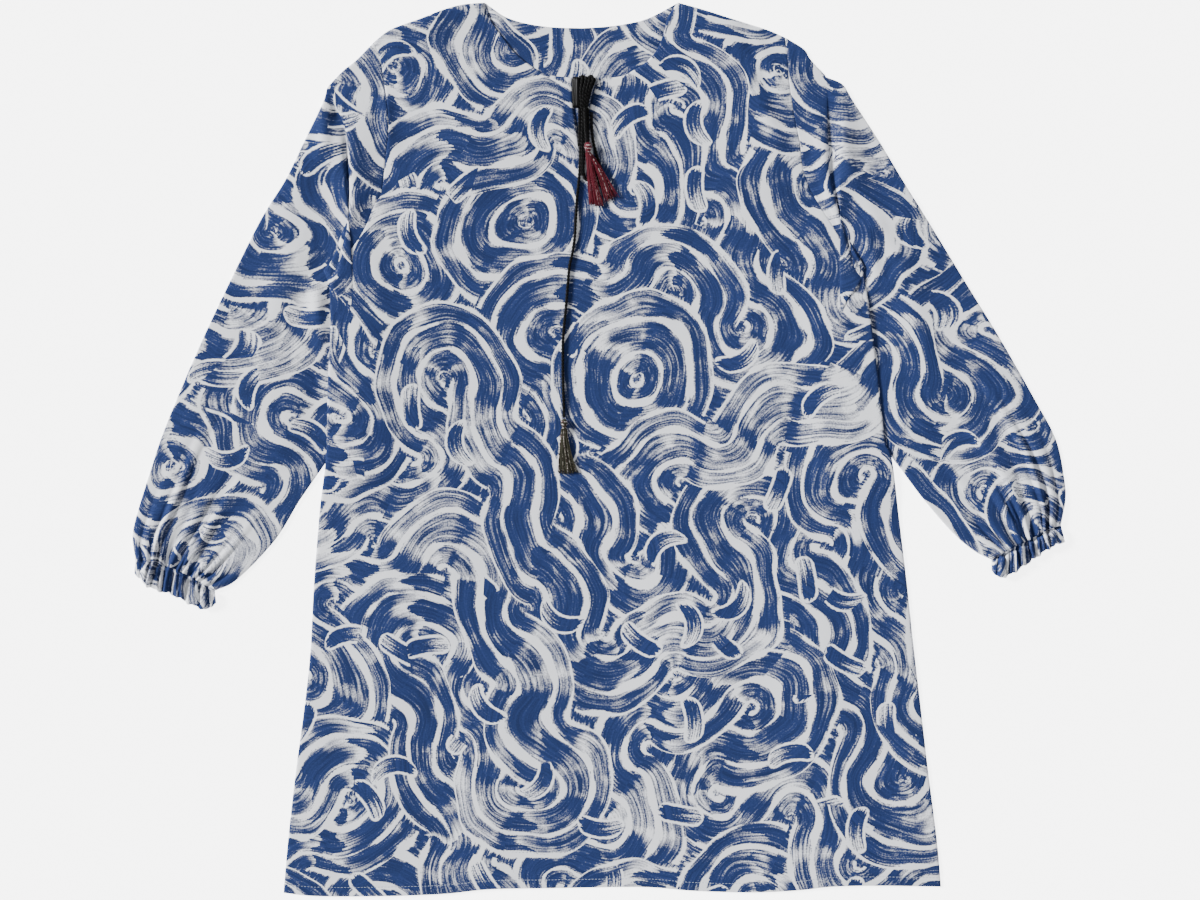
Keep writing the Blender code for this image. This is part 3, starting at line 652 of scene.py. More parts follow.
def makeTassel(name, yarn):
    spec = tassels[name]
    s = tasselSettings
    draw = np.random.default_rng(spec["seed"])
    top = np.array(spec["top"])
    neck = np.array(spec["neck"])
    t = np.linspace(0, 1, s["steps"])
    lines = []
    finishes = []
    for count, *corners in spec["locks"]:
        bendFrom, bendTo, endFrom, endTo = np.array(corners, float)
        for number in range(count):
            across = (number + draw.uniform(0.1, 0.9)) / count
            layer = draw.uniform(-1, 1)
            bend = bendFrom * (1 - across) + bendTo * across
            end = endFrom * (1 - across) + endTo * across
            if number % (count // spec["strays"]) == 3:
                end = end + draw.uniform(-1, 1, 2) * s["stray"]
            reach = 1 - spec["uneven"] * draw.uniform(0, 1) ** 1.5 / np.linalg.norm(end - neck)
            run = (t * reach)[:, None]
            root = neck + (0.8, 0) * draw.uniform(-1, 1, 2) + ((across - 0.5) * s["neckWidth"], 0)
            flat = root * (1 - run) ** 2 + 2 * run * (1 - run) * bend + run**2 * end
            flat[:, 0] += draw.uniform(0.2, 0.9) * np.sin(t * draw.uniform(2.5, 7.5) + draw.uniform(0, 6)) * t
            rootZ = spec["high"] + layer * s["rootSpread"] * math.sqrt(max(0.1, 1 - (2 * across - 1) ** 2))
            endZ = spec["low"] + layer * s["endSpread"]
            z = np.maximum(rootZ + (endZ - rootZ) * t**1.7, s["lowest"])
            lines.append(np.column_stack([flat, z + onFront]))
            finishes.append(1 if number % s["metallicEvery"] == 0 else 0)
    radii = [s["strandRadius"]] * len(lines)
    sides = [s["strandSides"]] * len(lines)
    # the head: yarn wound round a core, with film wound over it both ways
    count = s["headSteps"]
    shares = np.linspace(0, 1, count)
    length = np.linalg.norm(neck - top)
    radius = spec["headRadius"] * np.interp(shares, *zip(*headProfile))
    middle = np.column_stack([top + (neck - top) * shares[:, None], np.full(count, spec["high"] + onFront)])
    lines.append(middle)
    radii.append(radius + s["wrapDepth"] * np.cos(2 * math.pi * shares * length / s["wrap"]))
    sides.append(s["headSides"])
    finishes.append(0)
    for way in (-1, 1):
        turn = shares * s["filmTurns"] * 2 * math.pi * way + 1.1
        winding = np.column_stack([np.cos(turn), np.zeros(count), np.sin(turn)]) * (radius + 0.1)[:, None]
        lines.append((middle + winding)[3:])
        radii.append(s["filmRadius"])
        sides.append(s["strandSides"])
        finishes.append(1)
    mesh = tubeMesh(name + "Tassel", lines, radii, sides, finishes)
    return addPiece(name + "Tassel", mesh, [yarn, paleThread], ["tassel_" + name])


maroonTassel = makeTassel("maroon", maroonYarn)
oliveTassel = makeTassel("olive", oliveYarn)
print("tie made")

# Outlines of the cloth pieces, seen from above

body = {
    "hem": [(-301.5, -424), (-270, -427), (-210, -427), (-150, -425), (-105, -420.5), (-50, -419.5),
            (-17, -419), (45, -418.5), (90, -422), (145, -423.5), (190, -421.5), (222, -418), (265, -417),
            (327, -418)],
    "leftSide": [(-301.5, -424), (-297, -372), (-290, -310), (-282, -250), (-276, -195), (-272.5, -130),
                 (-267, -60), (-260.5, -5), (-259, 60), (-256.5, 114), (-257.5, 164)],
    "leftArmhole": [(-257.5, 164), (-228, 204), (-215, 233), (-208, 246), (-204, 280), (-201, 310),
                    (-205, 349), (-209.5, 375), (-215.5, 389)],
    "leftShoulder": [(-215.5, 389), (-199, 401.5), (-173, 411), (-149, 420.5), (-130, 425.5), (-109, 427.3)],
    "rightSide": [(327, -418), (323, -373), (315, -310), (308, -250), (301, -190), (294, -125), (287, -67),
                  (279.5, -8), (273, 9), (267, 66), (257.5, 140), (252.5, 169)],
    "rightArmhole": [(252.5, 169), (208, 238), (200, 254), (194, 273), (192, 294), (186.5, 320),
                     (181.5, 356), (180.5, 373), (178, 393.8)],
    "rightShoulder": [(75.6, 427.3), (99.5, 420.5), (129, 411), (160, 401.5), (178, 393.8)],
    "frontNeckLeft": [(-109, 427.3), (-105, 413), (-92, 394), (-76, 375.5), (-51, 359.5), (-13, 355)],
    "frontNeckRight": [(-13, 355), (17, 356.5), (34, 363), (49, 374), (59, 389), (66, 413), (75.6, 427.3)],
    "backNeckLeft": [(-109, 427.3), (-92, 415), (-72, 408), (-45, 404), (-16, 403)],
    "backNeckRight": [(-16, 403), (12, 405), (40, 410), (57, 417), (75.6, 427.3)],
}
sleeves = {
    "left": {
        "armhole": body["leftArmhole"][::-1],
        "crease": [(-259, 347), (-248, 323), (-240.5, 302), (-238, 266), (-237.5, 239), (-243, 213),
                   (-253, 184), (-261, 171)],
        "capEdge": [(-215.5, 389), (-231, 373), (-244, 362.5), (-259, 347)],
        "outer": [(-259, 347), (-264, 331), (-281, 296), (-299.5, 258), (-323, 220), (-352, 162), (-379, 105),
                  (-404, 47), (-419, 9), (-431.5, -29), (-443, -67), (-446, -86), (-443, -104.5)],
        "inner": [(-261, 171), (-254, 152), (-242, 137), (-234, 114), (-232, 81), (-237, 43), (-247, 11),
                  (-260.5, -11), (-286, -48), (-310, -86.5), (-346, -124), (-367.5, -135)],
        "cuffLine": [(-443, -104.5), (-425, -108.5), (-405, -114.5), (-385, -124.5), (-367.5, -135)],
        "cuffHem": [(-444, -117), (-430, -131.5), (-407, -139), (-390, -148), (-374, -152.5), (-366, -146)],
    },
    "right": {
        "armhole": body["rightArmhole"][::-1],
        "crease": [(216, 358), (217.5, 339), (218, 294), (220, 263), (228.5, 227), (242, 194), (253.8, 173)],
        "capEdge": [(178, 393.8), (196, 382.5), (202, 373), (216, 358)],
        "outer": [(216, 358), (233, 349), (242, 334.5), (267, 296), (290, 258), (314, 219.5), (349, 162),
                  (384, 105), (417, 47), (437, 9), (445, -29), (446, -48), (441.5, -72.5)],
        "inner": [(256, 175.5), (248, 155), (237, 140), (230.5, 118), (229, 85), (237, 47), (257, 14),
                  (280.5, -8), (311, -48), (340, -81), (361, -98), (375.5, -105)],
        "cuffLine": [(441.5, -72.5), (428, -77), (410, -87), (392.5, -95.5), (375.5, -105)],
        "cuffHem": [(445.5, -87.5), (430, -94.5), (413, -106.5), (392, -120), (381, -121.5), (375.5, -115)],
    },
}

# Front and back

clothSettings = {
    "thickness": 0.6,        # thin woven cloth, a little over its real 0.3
    "backLevel": 0.3,        # middle of the back cloth
    "frontLevel": 2.0,       # middle of the front cloth
    "tucked": 2.6,           # how much a sleeve folded under the body lifts it
    "sideDip": 1.05,         # the front comes down to the back at the side seams and shoulders
    "sideRound": 3.2,
    "seamDip": 0.6,          # groove along the armhole seams
    "seamRound": 2.4,
    "neckDip": 0.8,          # rounding of the finished neck and slit edges
    "neckRound": 2.2,
    "hemWidth": 8.4,         # from the hem's edge to its stitches
    "hemStep": 0.32,         # the turned-up hem is doubled
    "hemGroove": 0.34,
    "hemDroop": 0.7,
}
backPlace = (860, 77)    # the back's print comes from there on the cloth, and is seen from the wrong side
# x over which each sleeve comes in under the front, and y over which it ends below and above
tuckReach = {"left": (-184, -222), "right": (182, 219), "foot": (-75, -18), "top": (240, 174)}
slitSettings = {"halfWidth": 12.4, "foot": 258.0, "curve": 1.4, "drawn": 48.0,
                # its middle line, and how far beside and below it the cloth is moved to it
                "middle": [(150, -6.0), (258, -15.0), (300, -16.2), (325, -16.8), (355, -13.0)],
                "width": 130.0, "below": (150.0, 250.0)}
tiePlain = {"x": -16.0, "reach": 45.0, "foot": 190.0}    # where the front lies plain under the tie
frontFolds = [
    # x0, y0, x1, y1, reach, height
    (-175, 385, -105, 290, 30, 1.6), (-150, 250, -185, 60, 34, 1.4), (-190, -120, -215, -400, 36, 1.7),
    (-95, -230, -110, -415, 30, 1.2), (118, 395, 168, 285, 26, 1.8), (135, 240, 165, 40, 34, 1.5),
    (75, -60, 95, -250, 38, 1.2), (205, -140, 235, -405, 36, 1.7), (30, 250, 55, 90, 30, 1.1),
    # finer ones: drag lines at the armholes, the underarms and the shoulders, and slack by the hem
    (150, 392, 171, 352, 5, 0.9), (139, 398, 163, 340, 6, -0.6), (165, 372, 178, 330, 5, 0.7),
    (128, 402, 146, 362, 6, 0.6), (176, 300, 150, 262, 7, 0.5), (-196, 386, -176, 340, 7, 0.7),
    (-182, 398, -158, 352, 8, -0.5), (-200, 300, -178, 246, 8, 0.6), (-205, 262, -196, 214, 7, -0.5),
    (214, 224, 196, 180, 8, 0.7), (228, 204, 216, 150, 7, -0.5), (-226, 200, -206, 140, 8, 0.6),
    (-243, 178, -232, 110, 6, 0.5), (244, 182, 238, 116, 6, 0.6), (-262, -250, -270, -390, 12, 0.6),
    (290, -230, 300, -400, 12, 0.6), (-40, -300, -52, -412, 15, 0.5), (150, -300, 160, -415, 16, 0.6),
    (-98, 410, -84, 372, 6, 0.5), (62, 410, 78, 372, 6, 0.5), (20, -120, 8, -260, 20, -0.5),
    (-120, 30, -98, -120, 22, -0.6), (190, 10, 215, -110, 18, -0.7), (-235, 60, -240, -60, 12, 0.5),
    (-204, 330, -202, 298, 6, 2.2), (158, 330, 172, 296, 5, 1.2), (146, 350, 160, 318, 5, 1.2),
]
backFolds = [
    # the same, as they show inside the neck
    (-101, 420, -88, 398, 3.5, 1.5), (-92, 417, -80, 398, 4.5, 0.8), (-70, 409, -62, 378, 8, 0.4),
    (66, 420, 56, 396, 3.5, 1.5), (54, 414, 46, 396, 4.5, 0.8), (34, 409, 26, 372, 8, 0.4),
    (-30, 402, -20, 352, 16, 0.4),
]
# rows and columns of points lie closer together beside the neck points, the hem and the sleeves' edges
shoulderShares = np.concatenate([[0, 0.006, 0.014, 0.026, 0.045], np.linspace(0.08, 1, 20)])
sideLength = 592    # of a side seam
hemRows = np.array([0, 0.5, 1.2, 2.2, 3.4, 4.8, 6.2, 7.4, 8.0, 8.4, 8.8, 9.4, 10.6, 12.8, 16.0]) / sideLength
stitchRow = 9       # the row that the hem's stitches follow


def addCloth(name, points, grids, node):
    piece = addPiece(name, clothMesh(name, points, grids), [printedCloth], [node])
    wall = piece.modifiers.new("thickness", "SOLIDIFY")
    wall.thickness = clothSettings["thickness"] * mm
    wall.offset = 0
    return piece


def bodyPlan(neck, neckCount, sideCount, armholeCount):
    # a grid over a body panel, and how many of its rows end at the side seams
    shoulder = shoulderShares
    neckShares = np.linspace(0, 1, neckCount + 1)
    top = np.vstack([outline(body["leftShoulder"], shoulder),
                     outline(body[neck + "NeckLeft"], neckShares)[1:],
                     outline(body[neck + "NeckRight"], neckShares)[1:],
                     outline(body["rightShoulder"], 1 - shoulder[::-1])[1:]])
    columns = np.concatenate([shoulder / 6, 1 / 6 + neckShares[1:] / 3, 0.5 + neckShares[1:] / 3,
                              5 / 6 + (1 - shoulder[::-1])[1:] / 6])
    hem = outline(body["hem"], columns)
    side = np.concatenate([hemRows, np.linspace(hemRows[-1], 1, sideCount + 1)[1:]])
    armhole = np.concatenate([np.linspace(0, 0.975, armholeCount + 1)[1:], [0.984, 0.991, 0.996, 1]])
    underarm = 0.72
    rows = np.concatenate([side * underarm, underarm + (1 - underarm) * armhole])
    edges = [np.vstack([outline(body[name + "Side"], side), outline(body[name + "Armhole"], armhole)])
             for name in ("left", "right")]
    return patch(hem, top, *edges, rows, columns), len(side)


def lift(points):
    x, y = points[..., 0], points[..., 1]
    across = ease(*tuckReach["left"], x) + ease(*tuckReach["right"], x)
    return clothSettings["tucked"] * across * ease(*tuckReach["foot"], y) * ease(*tuckReach["top"], y)


def frontHeight(points):
    # level of the middle of the front cloth, which lies plain under the tie
    x, y = points[..., 0], points[..., 1]
    away = np.hypot(x - tiePlain["x"], np.maximum(0, tiePlain["foot"] - y) * 0.3) / tiePlain["reach"]
    away = np.minimum(1, away) ** 2
    slack = 0.25 * unevenness(points, 75, 1.5) + 0.1 * unevenness(points, 26, 4.5)
    return clothSettings["frontLevel"] + lift(points) + (foldHeights(points, frontFolds) + slack) * away


def fromEdges(plan):
    # how far each point is from the nearer end of its row, from the last row and from the first
    ends = np.minimum(lengths(plan - plan[:, :1]), lengths(plan - plan[:, -1:]))
    return ends, lengths(plan - plan[-1:]), lengths(plan - plan[:1])


def fall(edge, distance):
    # how far the cloth comes down near a side, seam or neck edge
    return clothSettings[edge + "Dip"] * (1 - rounded(distance, clothSettings[edge + "Round"]))


def hemShape(distance):
    c = clothSettings
    step = c["hemStep"] * (1 - ease(c["hemWidth"] - 0.4, c["hemWidth"] + 0.8, distance))
    groove = c["hemGroove"] * np.exp(-((distance - c["hemWidth"]) / 0.55) ** 2)
    return step - groove - c["hemDroop"] * (1 - ease(0, 14, distance))


def makeFront():
    s = slitSettings
    plan, sideRows = bodyPlan("front", 48, 100, 62)
    rows, columns = plan.shape[:2]
    middle = columns // 2
    # the middle columns move over to the slit's own line
    level = plan[:, middle, 1]
    shift = (np.interp(level, *zip(*s["middle"])) - plan[:, middle, 0]) * ease(*s["below"], level)
    fromMiddle = np.abs(plan[..., 0] - plan[:, middle:middle + 1, 0])
    plan[..., 0] += shift[:, None] * ease(s["width"], 0, fromMiddle)
    sideways, top, hem = fromEdges(plan)
    isSide = (np.arange(rows) < sideRows)[:, None]
    opening = s["halfWidth"] * np.maximum(0, (level - s["foot"]) / (level[-1] - s["foot"])) ** s["curve"]
    fromSlit = np.abs(plan[..., 0] - plan[:, middle:middle + 1, 0])
    drawn = opening[:, None] * np.clip(1 - fromSlit / s["drawn"], 0, 1) ** 1.4
    # on the shoulders the front comes down to the back, and round the neck its edge is only rounded
    onShoulder = np.zeros(columns)
    onShoulder[:len(shoulderShares)] = onShoulder[-len(shoulderShares):] = 1
    neckPoints = (body["leftShoulder"][-1][0], body["rightShoulder"][0][0])
    fromNeckPoint = np.min([np.abs(plan[-1, :, 0] - x) for x in neckPoints], axis=0)
    onShoulder = np.maximum(onShoulder, 1 - ease(0, 14, fromNeckPoint))
    halves = []
    for direction, part in ((-1, slice(0, middle + 1)), (1, slice(middle, columns))):
        flatPart = plan[:, part]
        moved = flatPart.copy()
        moved[..., 0] += direction * drawn[:, part]
        z = frontHeight(moved) + hemShape(hem[:, part])
        z -= np.where(isSide, fall("side", sideways[:, part]), fall("seam", sideways[:, part]))
        neckFall = fall("neck", top[:, part])
        z -= neckFall + (fall("side", top[:, part]) - neckFall) * onShoulder[part]
        z -= np.where(opening[:, None] > 0, fall("neck", fromSlit[:, part]), 0)
        halves.append((np.dstack([moved, z]), flatPart))
    # below the slit the two halves share their middle points
    leftNumbers = np.arange(rows * (middle + 1)).reshape(rows, -1)
    rightNumbers = leftNumbers.size + np.arange(rows * (columns - middle)).reshape(rows, -1)
    joined = opening <= 0
    rightNumbers[joined, 0] = leftNumbers[joined, -1]
    points = np.vstack([half[0].reshape(-1, 3) for half in halves])
    used = np.unique(np.concatenate([leftNumbers.ravel(), rightNumbers.ravel()]))
    renumber = np.full(len(points), -1)
    renumber[used] = np.arange(len(used))
    grids = [(renumber[leftNumbers], halves[0][1]), (renumber[rightNumbers], halves[1][1])]
    piece = addCloth("frontPanel", points[used], grids, "front")
    return piece, np.vstack([halves[0][0][stitchRow], halves[1][0][stitchRow, 1:]])


def makeBack():
    plan = bodyPlan("back", 32, 60, 44)[0]
    slack = np.maximum(0, foldHeights(plan, backFolds)) * ease(60, 20, fromEdges(plan)[1])
    z = clothSettings["backLevel"] + lift(plan) + slack
    flatCloth = plan * (-1, 1) + backPlace
    grid = (np.arange(z.size).reshape(z.shape), flatCloth)
    return addCloth("backPanel", np.dstack([plan, z]), [grid], "back")


frontPanel, hemLine = makeFront()
backPanel = makeBack()
print("front and back made")

# Sleeves

gathers = {
    # reach up the sleeve, height, outer edge first
    "left": [(34, 2.4), (56, 3.4), (94, 5.4), (44, 3.2), (70, 5.2), (38, 2.8), (80, 4.8), (46, 3.4),
             (58, 4.0), (36, 3.0), (30, 2.2)],
    "right": [(30, 2.2), (70, 4.4), (96, 5.6), (50, 3.6), (84, 5.0), (42, 3.0), (60, 4.2), (74, 4.6),
              (40, 3.2), (52, 3.8), (28, 2.2)],
}
trenches = {
    # deep folds that run up from the cuffs: share of the width from the outer edge, half width, depth, reach
    "left": [(0.46, 0.026, 6.5, 42), (0.56, 0.018, 4.4, 20), (0.36, 0.018, 3.6, 18), (0.66, 0.017, 3.8, 16),
             (0.24, 0.014, 2.8, 14), (0.78, 0.014, 2.6, 14)],
    "right": [(0.19, 0.024, 6.5, 54), (0.48, 0.026, 6.0, 30), (0.39, 0.017, 3.6, 20),
              (0.62, 0.018, 3.6, 18), (0.29, 0.014, 2.8, 16), (0.74, 0.014, 2.6, 14)],
}
puffs = {
    # smooth rounded stretches of the casings: share of the width, half width, height
    "left": [(0.14, 0.12, 3.4), (0.90, 0.07, 2.0)], "right": [(0.10, 0.09, 2.4), (0.90, 0.08, 2.2)],
}
casingGrooves = [(0.10, 0.07, 3.6), (0.80, 0.03, 0.8)]  # share from sleeve to hem, half width, depth
casingPlace = {"left": (-40, 130), "right": (60, 150)}  # their print comes from other places on the cloth
creaseProfile = [
    # outward from the crease's line, height as a share of its rise; the cloth rolls over and folds back under
    (0.38, 0.65), (0.72, 0.58), (0.90, 0.50), (0.82, 0.42), (0.40, 0.37), (-0.6, 0.345), (-2.5, 0.335),
    (-6.0, 0.33), (-7.4, 0.31), (-8.0, 0.27), (-8.1, 0.21), (-7.8, 0.15), (-6.8, 0.11), (-4.0, 0.08),
    (-1.0, 0.05), (0.8, 0.03), (1.8, 0.01),
]
sleeveSettings = {
    "capRows": 14, "armRows": 100, "creaseRise": 4.4, "creaseFoot": 2.76, "creaseCloth": 17,
    "edgeMiddle": 1.15, "edgeRound": 2.6,
    "brow": 0.3, "browRound": 8.0,    # share of the rise over which the crease rounds off, and how far in
    "billow": 4.2, "billowAt": 18, "billowEnd": 95,    # the sleeve swells beside the crease
    "seamGap": 0.15, "cuffCloth": 150, "cuffRows": 30, "cuffLoft": 1.2, "pucker": 3.4, "lowest": -0.8,
}
sleeveFolds = {
    "left": [
        (-262, 330, -300, 215, 12, 0.9), (-250, 250, -290, 120, 14, -0.7), (-285, 190, -345, 60, 16, 1.0),
        (-262, 120, -300, 20, 12, 0.8), (-320, 130, -372, 10, 13, -0.8), (-348, 40, -392, -60, 12, 0.9),
        (-300, 10, -345, -75, 13, 0.9), (-380, 60, -412, -30, 12, 0.7), (-322, -30, -370, -100, 9, -0.9),
        (-255, 310, -262, 255, 7, -0.6), (-296, 190, -318, 30, 20, 1.6), (-268, 160, -272, 20, 10, -0.7),
        (-270, 150, -286, 96, 7, 0.9), (-263, 322, -262, 290, 8, 4.0), (-270, 152, -268, 130, 8, 2.8),
        (-269, 140, -267, 96, 7, 2.2),
    ],
    "right": [
        (232, 330, 262, 215, 12, 0.9), (236, 262, 276, 120, 14, -0.8), (270, 200, 330, 80, 16, 1.0),
        (246, 120, 290, 20, 12, 0.8), (310, 150, 362, 40, 13, -0.8), (345, 60, 396, -40, 12, 1.0),
        (300, 10, 350, -60, 13, 0.9), (372, 90, 412, 0, 12, 0.8), (330, -20, 382, -80, 9, -0.9),
        (224, 320, 230, 262, 7, -0.6), (292, 220, 312, 50, 20, 1.5), (264, 170, 280, 20, 10, -0.7),
        (258, 232, 292, 172, 8, 0.9), (256, 208, 266, 160, 9, 3.4), (234, 300, 238, 262, 8, 2.0),
    ],
}
edgeShares = np.array([0, 0.0015, 0.005, 0.011, 0.02, 0.035])
acrossShares = np.concatenate([edgeShares, np.linspace(0.055, 0.945, 79), 1 - edgeShares[::-1]])


def gatherWave(side, share, distance):
    # the gathers at a share of the sleeve's width and a distance from the cuff: round ridges of uneven width
    # with narrow valleys between them, and finer ones close to the cuff
    s = sleeveSettings
    table = np.array(gathers[side])
    wander = 0.42 * np.sin(share * 23.0 + 1.0) * np.sin(math.pi * share)
    wander = wander + 0.1 * np.sin(distance / 19 + share * 9)
    place = np.clip(share * len(table) + wander * np.sin(math.pi * share), 0, len(table) - 1e-6)
    row = table[place.astype(int)]
    crest = 1 - np.abs(2 * (place % 1) - 1) ** 2.4
    fine = 1 - np.abs(2 * ((place * 2.3 + 0.3 * np.sin(place * 2.1)) % 1) - 1) ** 2
    wave = row[..., 1] * crest * np.exp(-((distance / row[..., 0]) ** 2))
    wave = wave + 0.24 * row[..., 1] * fine * np.exp(-((distance / (0.34 * row[..., 0])) ** 2))
    for at, halfWidth, depth, reach in trenches[side]:
        aside = share - at - 0.008 * np.sin(distance / 9)
        wave = wave - depth * np.exp(-((aside / halfWidth) ** 2) - (distance / reach) ** 2)
    return np.maximum(wave, s["lowest"])


def tubeGrid(plan, top, flat):
    # closes a strip of cloth into a flattened tube that lies on the floor, sewn up along its inner edge
    middle = sleeveSettings["edgeMiddle"]
    edge = rounded(fromEdges(plan)[0], sleeveSettings["edgeRound"])
    upper = np.dstack([plan, middle + (top - middle) * edge])
    lower = np.dstack([plan, middle - (middle - clothSettings["backLevel"]) * edge])
    points = np.concatenate([upper[:, ::-1], lower[:, 1:-1]], 1)
    under = 2 * flat[:, :1] - flat
    cloth = np.concatenate([flat[:, ::-1], under[:, 1:]], 1)
    numbers = np.arange(points.shape[0] * points.shape[1]).reshape(points.shape[:2])
    numbers = np.hstack([numbers, numbers[:, :1]])
    return points, [(numbers[::-1], cloth[::-1])]


def acrossCuff(line):
    # a cuff line's width and its direction from the outer edge to the inner one
    width = lengths(line[-1] - line[0])
    return width, (line[-1] - line[0]) / width


def makeSleeve(side):
    s = sleeveSettings
    front = clothSettings["frontLevel"]
    rim = sleeves[side]
    outward = -1 if side == "left" else 1
    shares = acrossShares
    seam = outline(rim["armhole"], shares)
    way = np.gradient(seam, axis=0)
    way /= lengths(way)[:, None]
    seam = seam + np.stack([-way[:, 1], way[:, 0]], 1) * outward * s["seamGap"]
    crest = outline(rim["crease"], shares)
    capShares = np.concatenate([[0, 0.012, 0.03, 0.055, 0.09], np.linspace(0.14, 1, s["capRows"])])
    underarm = seam[-1] + (crest[-1] - seam[-1]) * capShares[:, None]
    cap = patch(seam, crest, outline(rim["capEdge"], capShares), underarm, capShares, shares)
    # towards the underarm the cap narrows to nothing, and lies level with the front there
    seamRise = frontHeight(cap) - front
    wide = ease(3, 24, lengths(cap[-1] - cap[0]))
    rise = s["creaseRise"] * ease(0.02, 0.4, shares)
    rise = np.where(shares > 0.5, rise * wide + np.minimum(rise, seamRise[-1] + 0.5) * (1 - wide), rise)
    fromCrest, fromSeam = fromEdges(cap)[1:]
    capTop = front + seamRise + (rise[None] - seamRise) * ease(0, 1, capShares)[:, None]
    capTop -= fall("seam", fromSeam) * wide
    browRound = np.minimum(s["browRound"], fromSeam[-1:] + 0.5)
    capTop -= s["brow"] * rise * (1 - rounded(fromCrest, browRound))

    # The crease: flat at the shoulder, folded back under the cap further down
    direction = np.array((outward, -0.35)) / math.hypot(1, 0.35)
    start = ease(0, 0.15, shares)[:, None]
    foot = crest + direction * s["creaseFoot"] * start + np.array((outward, -2.0)) * (1 - start)
    folded = ease(0.04, 0.34, shares)[:, None]
    creaseShares = (np.arange(len(creaseProfile)) + 1)[:, None, None] / (len(creaseProfile) + 1)
    out, height = np.array(creaseProfile).T[..., None]
    flatPlace = crest + (foot - crest) * creaseShares
    foldPlace = crest + direction * out[..., None]
    crease = flatPlace + (foldPlace - flatPlace) * folded
    creaseTop = front + rise * height

    armShares = np.concatenate([np.linspace(0, 0.9, s["armRows"] - 14)[:-1], np.linspace(0.9, 1, 15)])
    outer = outline([tuple(foot[0]), *rim["outer"][1:]], armShares)
    inner = outline([tuple(foot[-1]), *rim["inner"][1:]], armShares)
    cuffLine = outline(rim["cuffLine"], shares)
    arm = patch(foot, cuffLine, outer, inner, armShares, shares)
    middle = len(shares) // 2
    distance = (1 - armShares)[:, None] * lengths(foot[middle] - cuffLine[middle])
    fromCrease = lengths(arm - arm[:1])
    billow = ease(0, s["billowAt"], fromCrease) * ease(s["billowEnd"], s["billowAt"], fromCrease)
    # the folds die away at the crease and in the gathers
    quiet = ease(0, 10, fromCrease) * ease(0, 8, distance) * (0.25 + 0.75 * ease(0, 40, distance))
    folds = np.maximum(foldHeights(arm, sleeveFolds[side]), -0.9)
    slack = 0.3 * unevenness(arm, 60, 2.5) + 0.12 * unevenness(arm, 22, 6.5)
    armTop = front + gatherWave(side, np.broadcast_to(shares, arm.shape[:2]), distance)
    armTop += s["billow"] * billow * ease(0.02, 0.3, shares) + (folds + slack) * quiet

    # Flat cloth: as it lies, but with the crease's hidden cloth between, and fuller at the cuff
    hiddenCloth = s["creaseCloth"] * folded * direction
    flatCrease = crest + (foot + hiddenCloth - crest) * creaseShares
    width, across = acrossCuff(cuffLine)
    spare = (s["cuffCloth"] - width) * np.exp(-((distance / 75) ** 2))
    flatArm = arm + hiddenCloth + ((shares - 0.5) * spare)[..., None] * across
    flat = np.concatenate([cap, flatCrease, flatArm]) + (1800 * outward, 0)
    top = np.concatenate([capTop, creaseTop, armTop])
    points, grids = tubeGrid(np.concatenate([cap, crease, arm]), top, flat)
    return addCloth(side + "Sleeve", points, grids, "sleeve_" + side), flat[-1]


def makeCuff(side, startFlat):
    s = sleeveSettings
    front = clothSettings["frontLevel"]
    rim = sleeves[side]
    shares = acrossShares
    rowShares = np.linspace(0, 1, s["cuffRows"])
    rowColumn = rowShares[:, None]
    top = outline(rim["cuffLine"], shares)
    hem = outline(rim["cuffHem"], shares)
    across = acrossCuff(top)[1]
    down = np.array((across[1], -across[0])) * (1 if side == "left" else -1)
    top = top + down * 0.03
    frill = np.sin(2 * math.pi * shares * 6.4) * 0.9 + np.sin(2 * math.pi * shares * 15 + 1) * 0.4
    hem = hem + down * frill[:, None]
    ends = [top[k] + (hem[k] - top[k]) * rowColumn for k in (0, -1)]
    plan = patch(top, hem, *ends, rowShares, shares)
    fullness = np.interp(rowColumn, (0, 0.12, 0.3, 0.6, 0.8, 1), (1.0, 0.7, 1.1, 0.8, 1.0, 0.5))
    # the puckers lean a little, and no two lean alike
    lean = 0.035 * np.sin(shares * 31.0 + 0.7) * np.sin(math.pi * shares)
    leaning = np.clip(shares + rowColumn * lean, 0, 1)
    wave = gatherWave(side, leaning, np.zeros(plan.shape[:2]))
    puckers = 1 - np.abs(2 * ((leaning * 17 + 0.3 * np.sin(leaning * 40)) % 1) - 1) ** 1.6
    height = front + s["cuffLoft"] * rowColumn ** 0.3 + fullness * wave
    bulge = np.sin(math.pi * rowColumn) ** 0.6
    middlePart = 0.35 + 0.65 * ease(0.2, 0.4, shares) * ease(0.92, 0.74, shares)
    height += s["pucker"] * middlePart * (puckers - 0.4) * bulge
    for at, halfWidth, raised in puffs[side]:
        height += raised * np.exp(-(((shares - at) / halfWidth) ** 2)) * bulge
    for at, halfWidth, depth in casingGrooves:
        height -= depth * np.exp(-((rowColumn - at) / halfWidth) ** 2)
    height += 0.5 * unevenness(plan, 6, 3.5) * ease(0, 0.15, rowColumn)
    height = np.maximum(height, front + s["lowest"])
    flat = startFlat + casingPlace[side] + rowColumn[..., None] * lengths(hem - top).mean() * down
    points, grids = tubeGrid(plan, height, flat)
    return addCloth(side + "Cuff", points, grids, "cuff_" + side)


for sleeveSide in ("left", "right"):
    sleevePiece, sleeveEnd = makeSleeve(sleeveSide)
    cuffPiece = makeCuff(sleeveSide, sleeveEnd)
print("sleeves made")

# Sewing

stitchSettings = {"length": 2.3, "pitch": 3.2, "radius": 0.22, "sink": 0.05, "dip": 0.3}


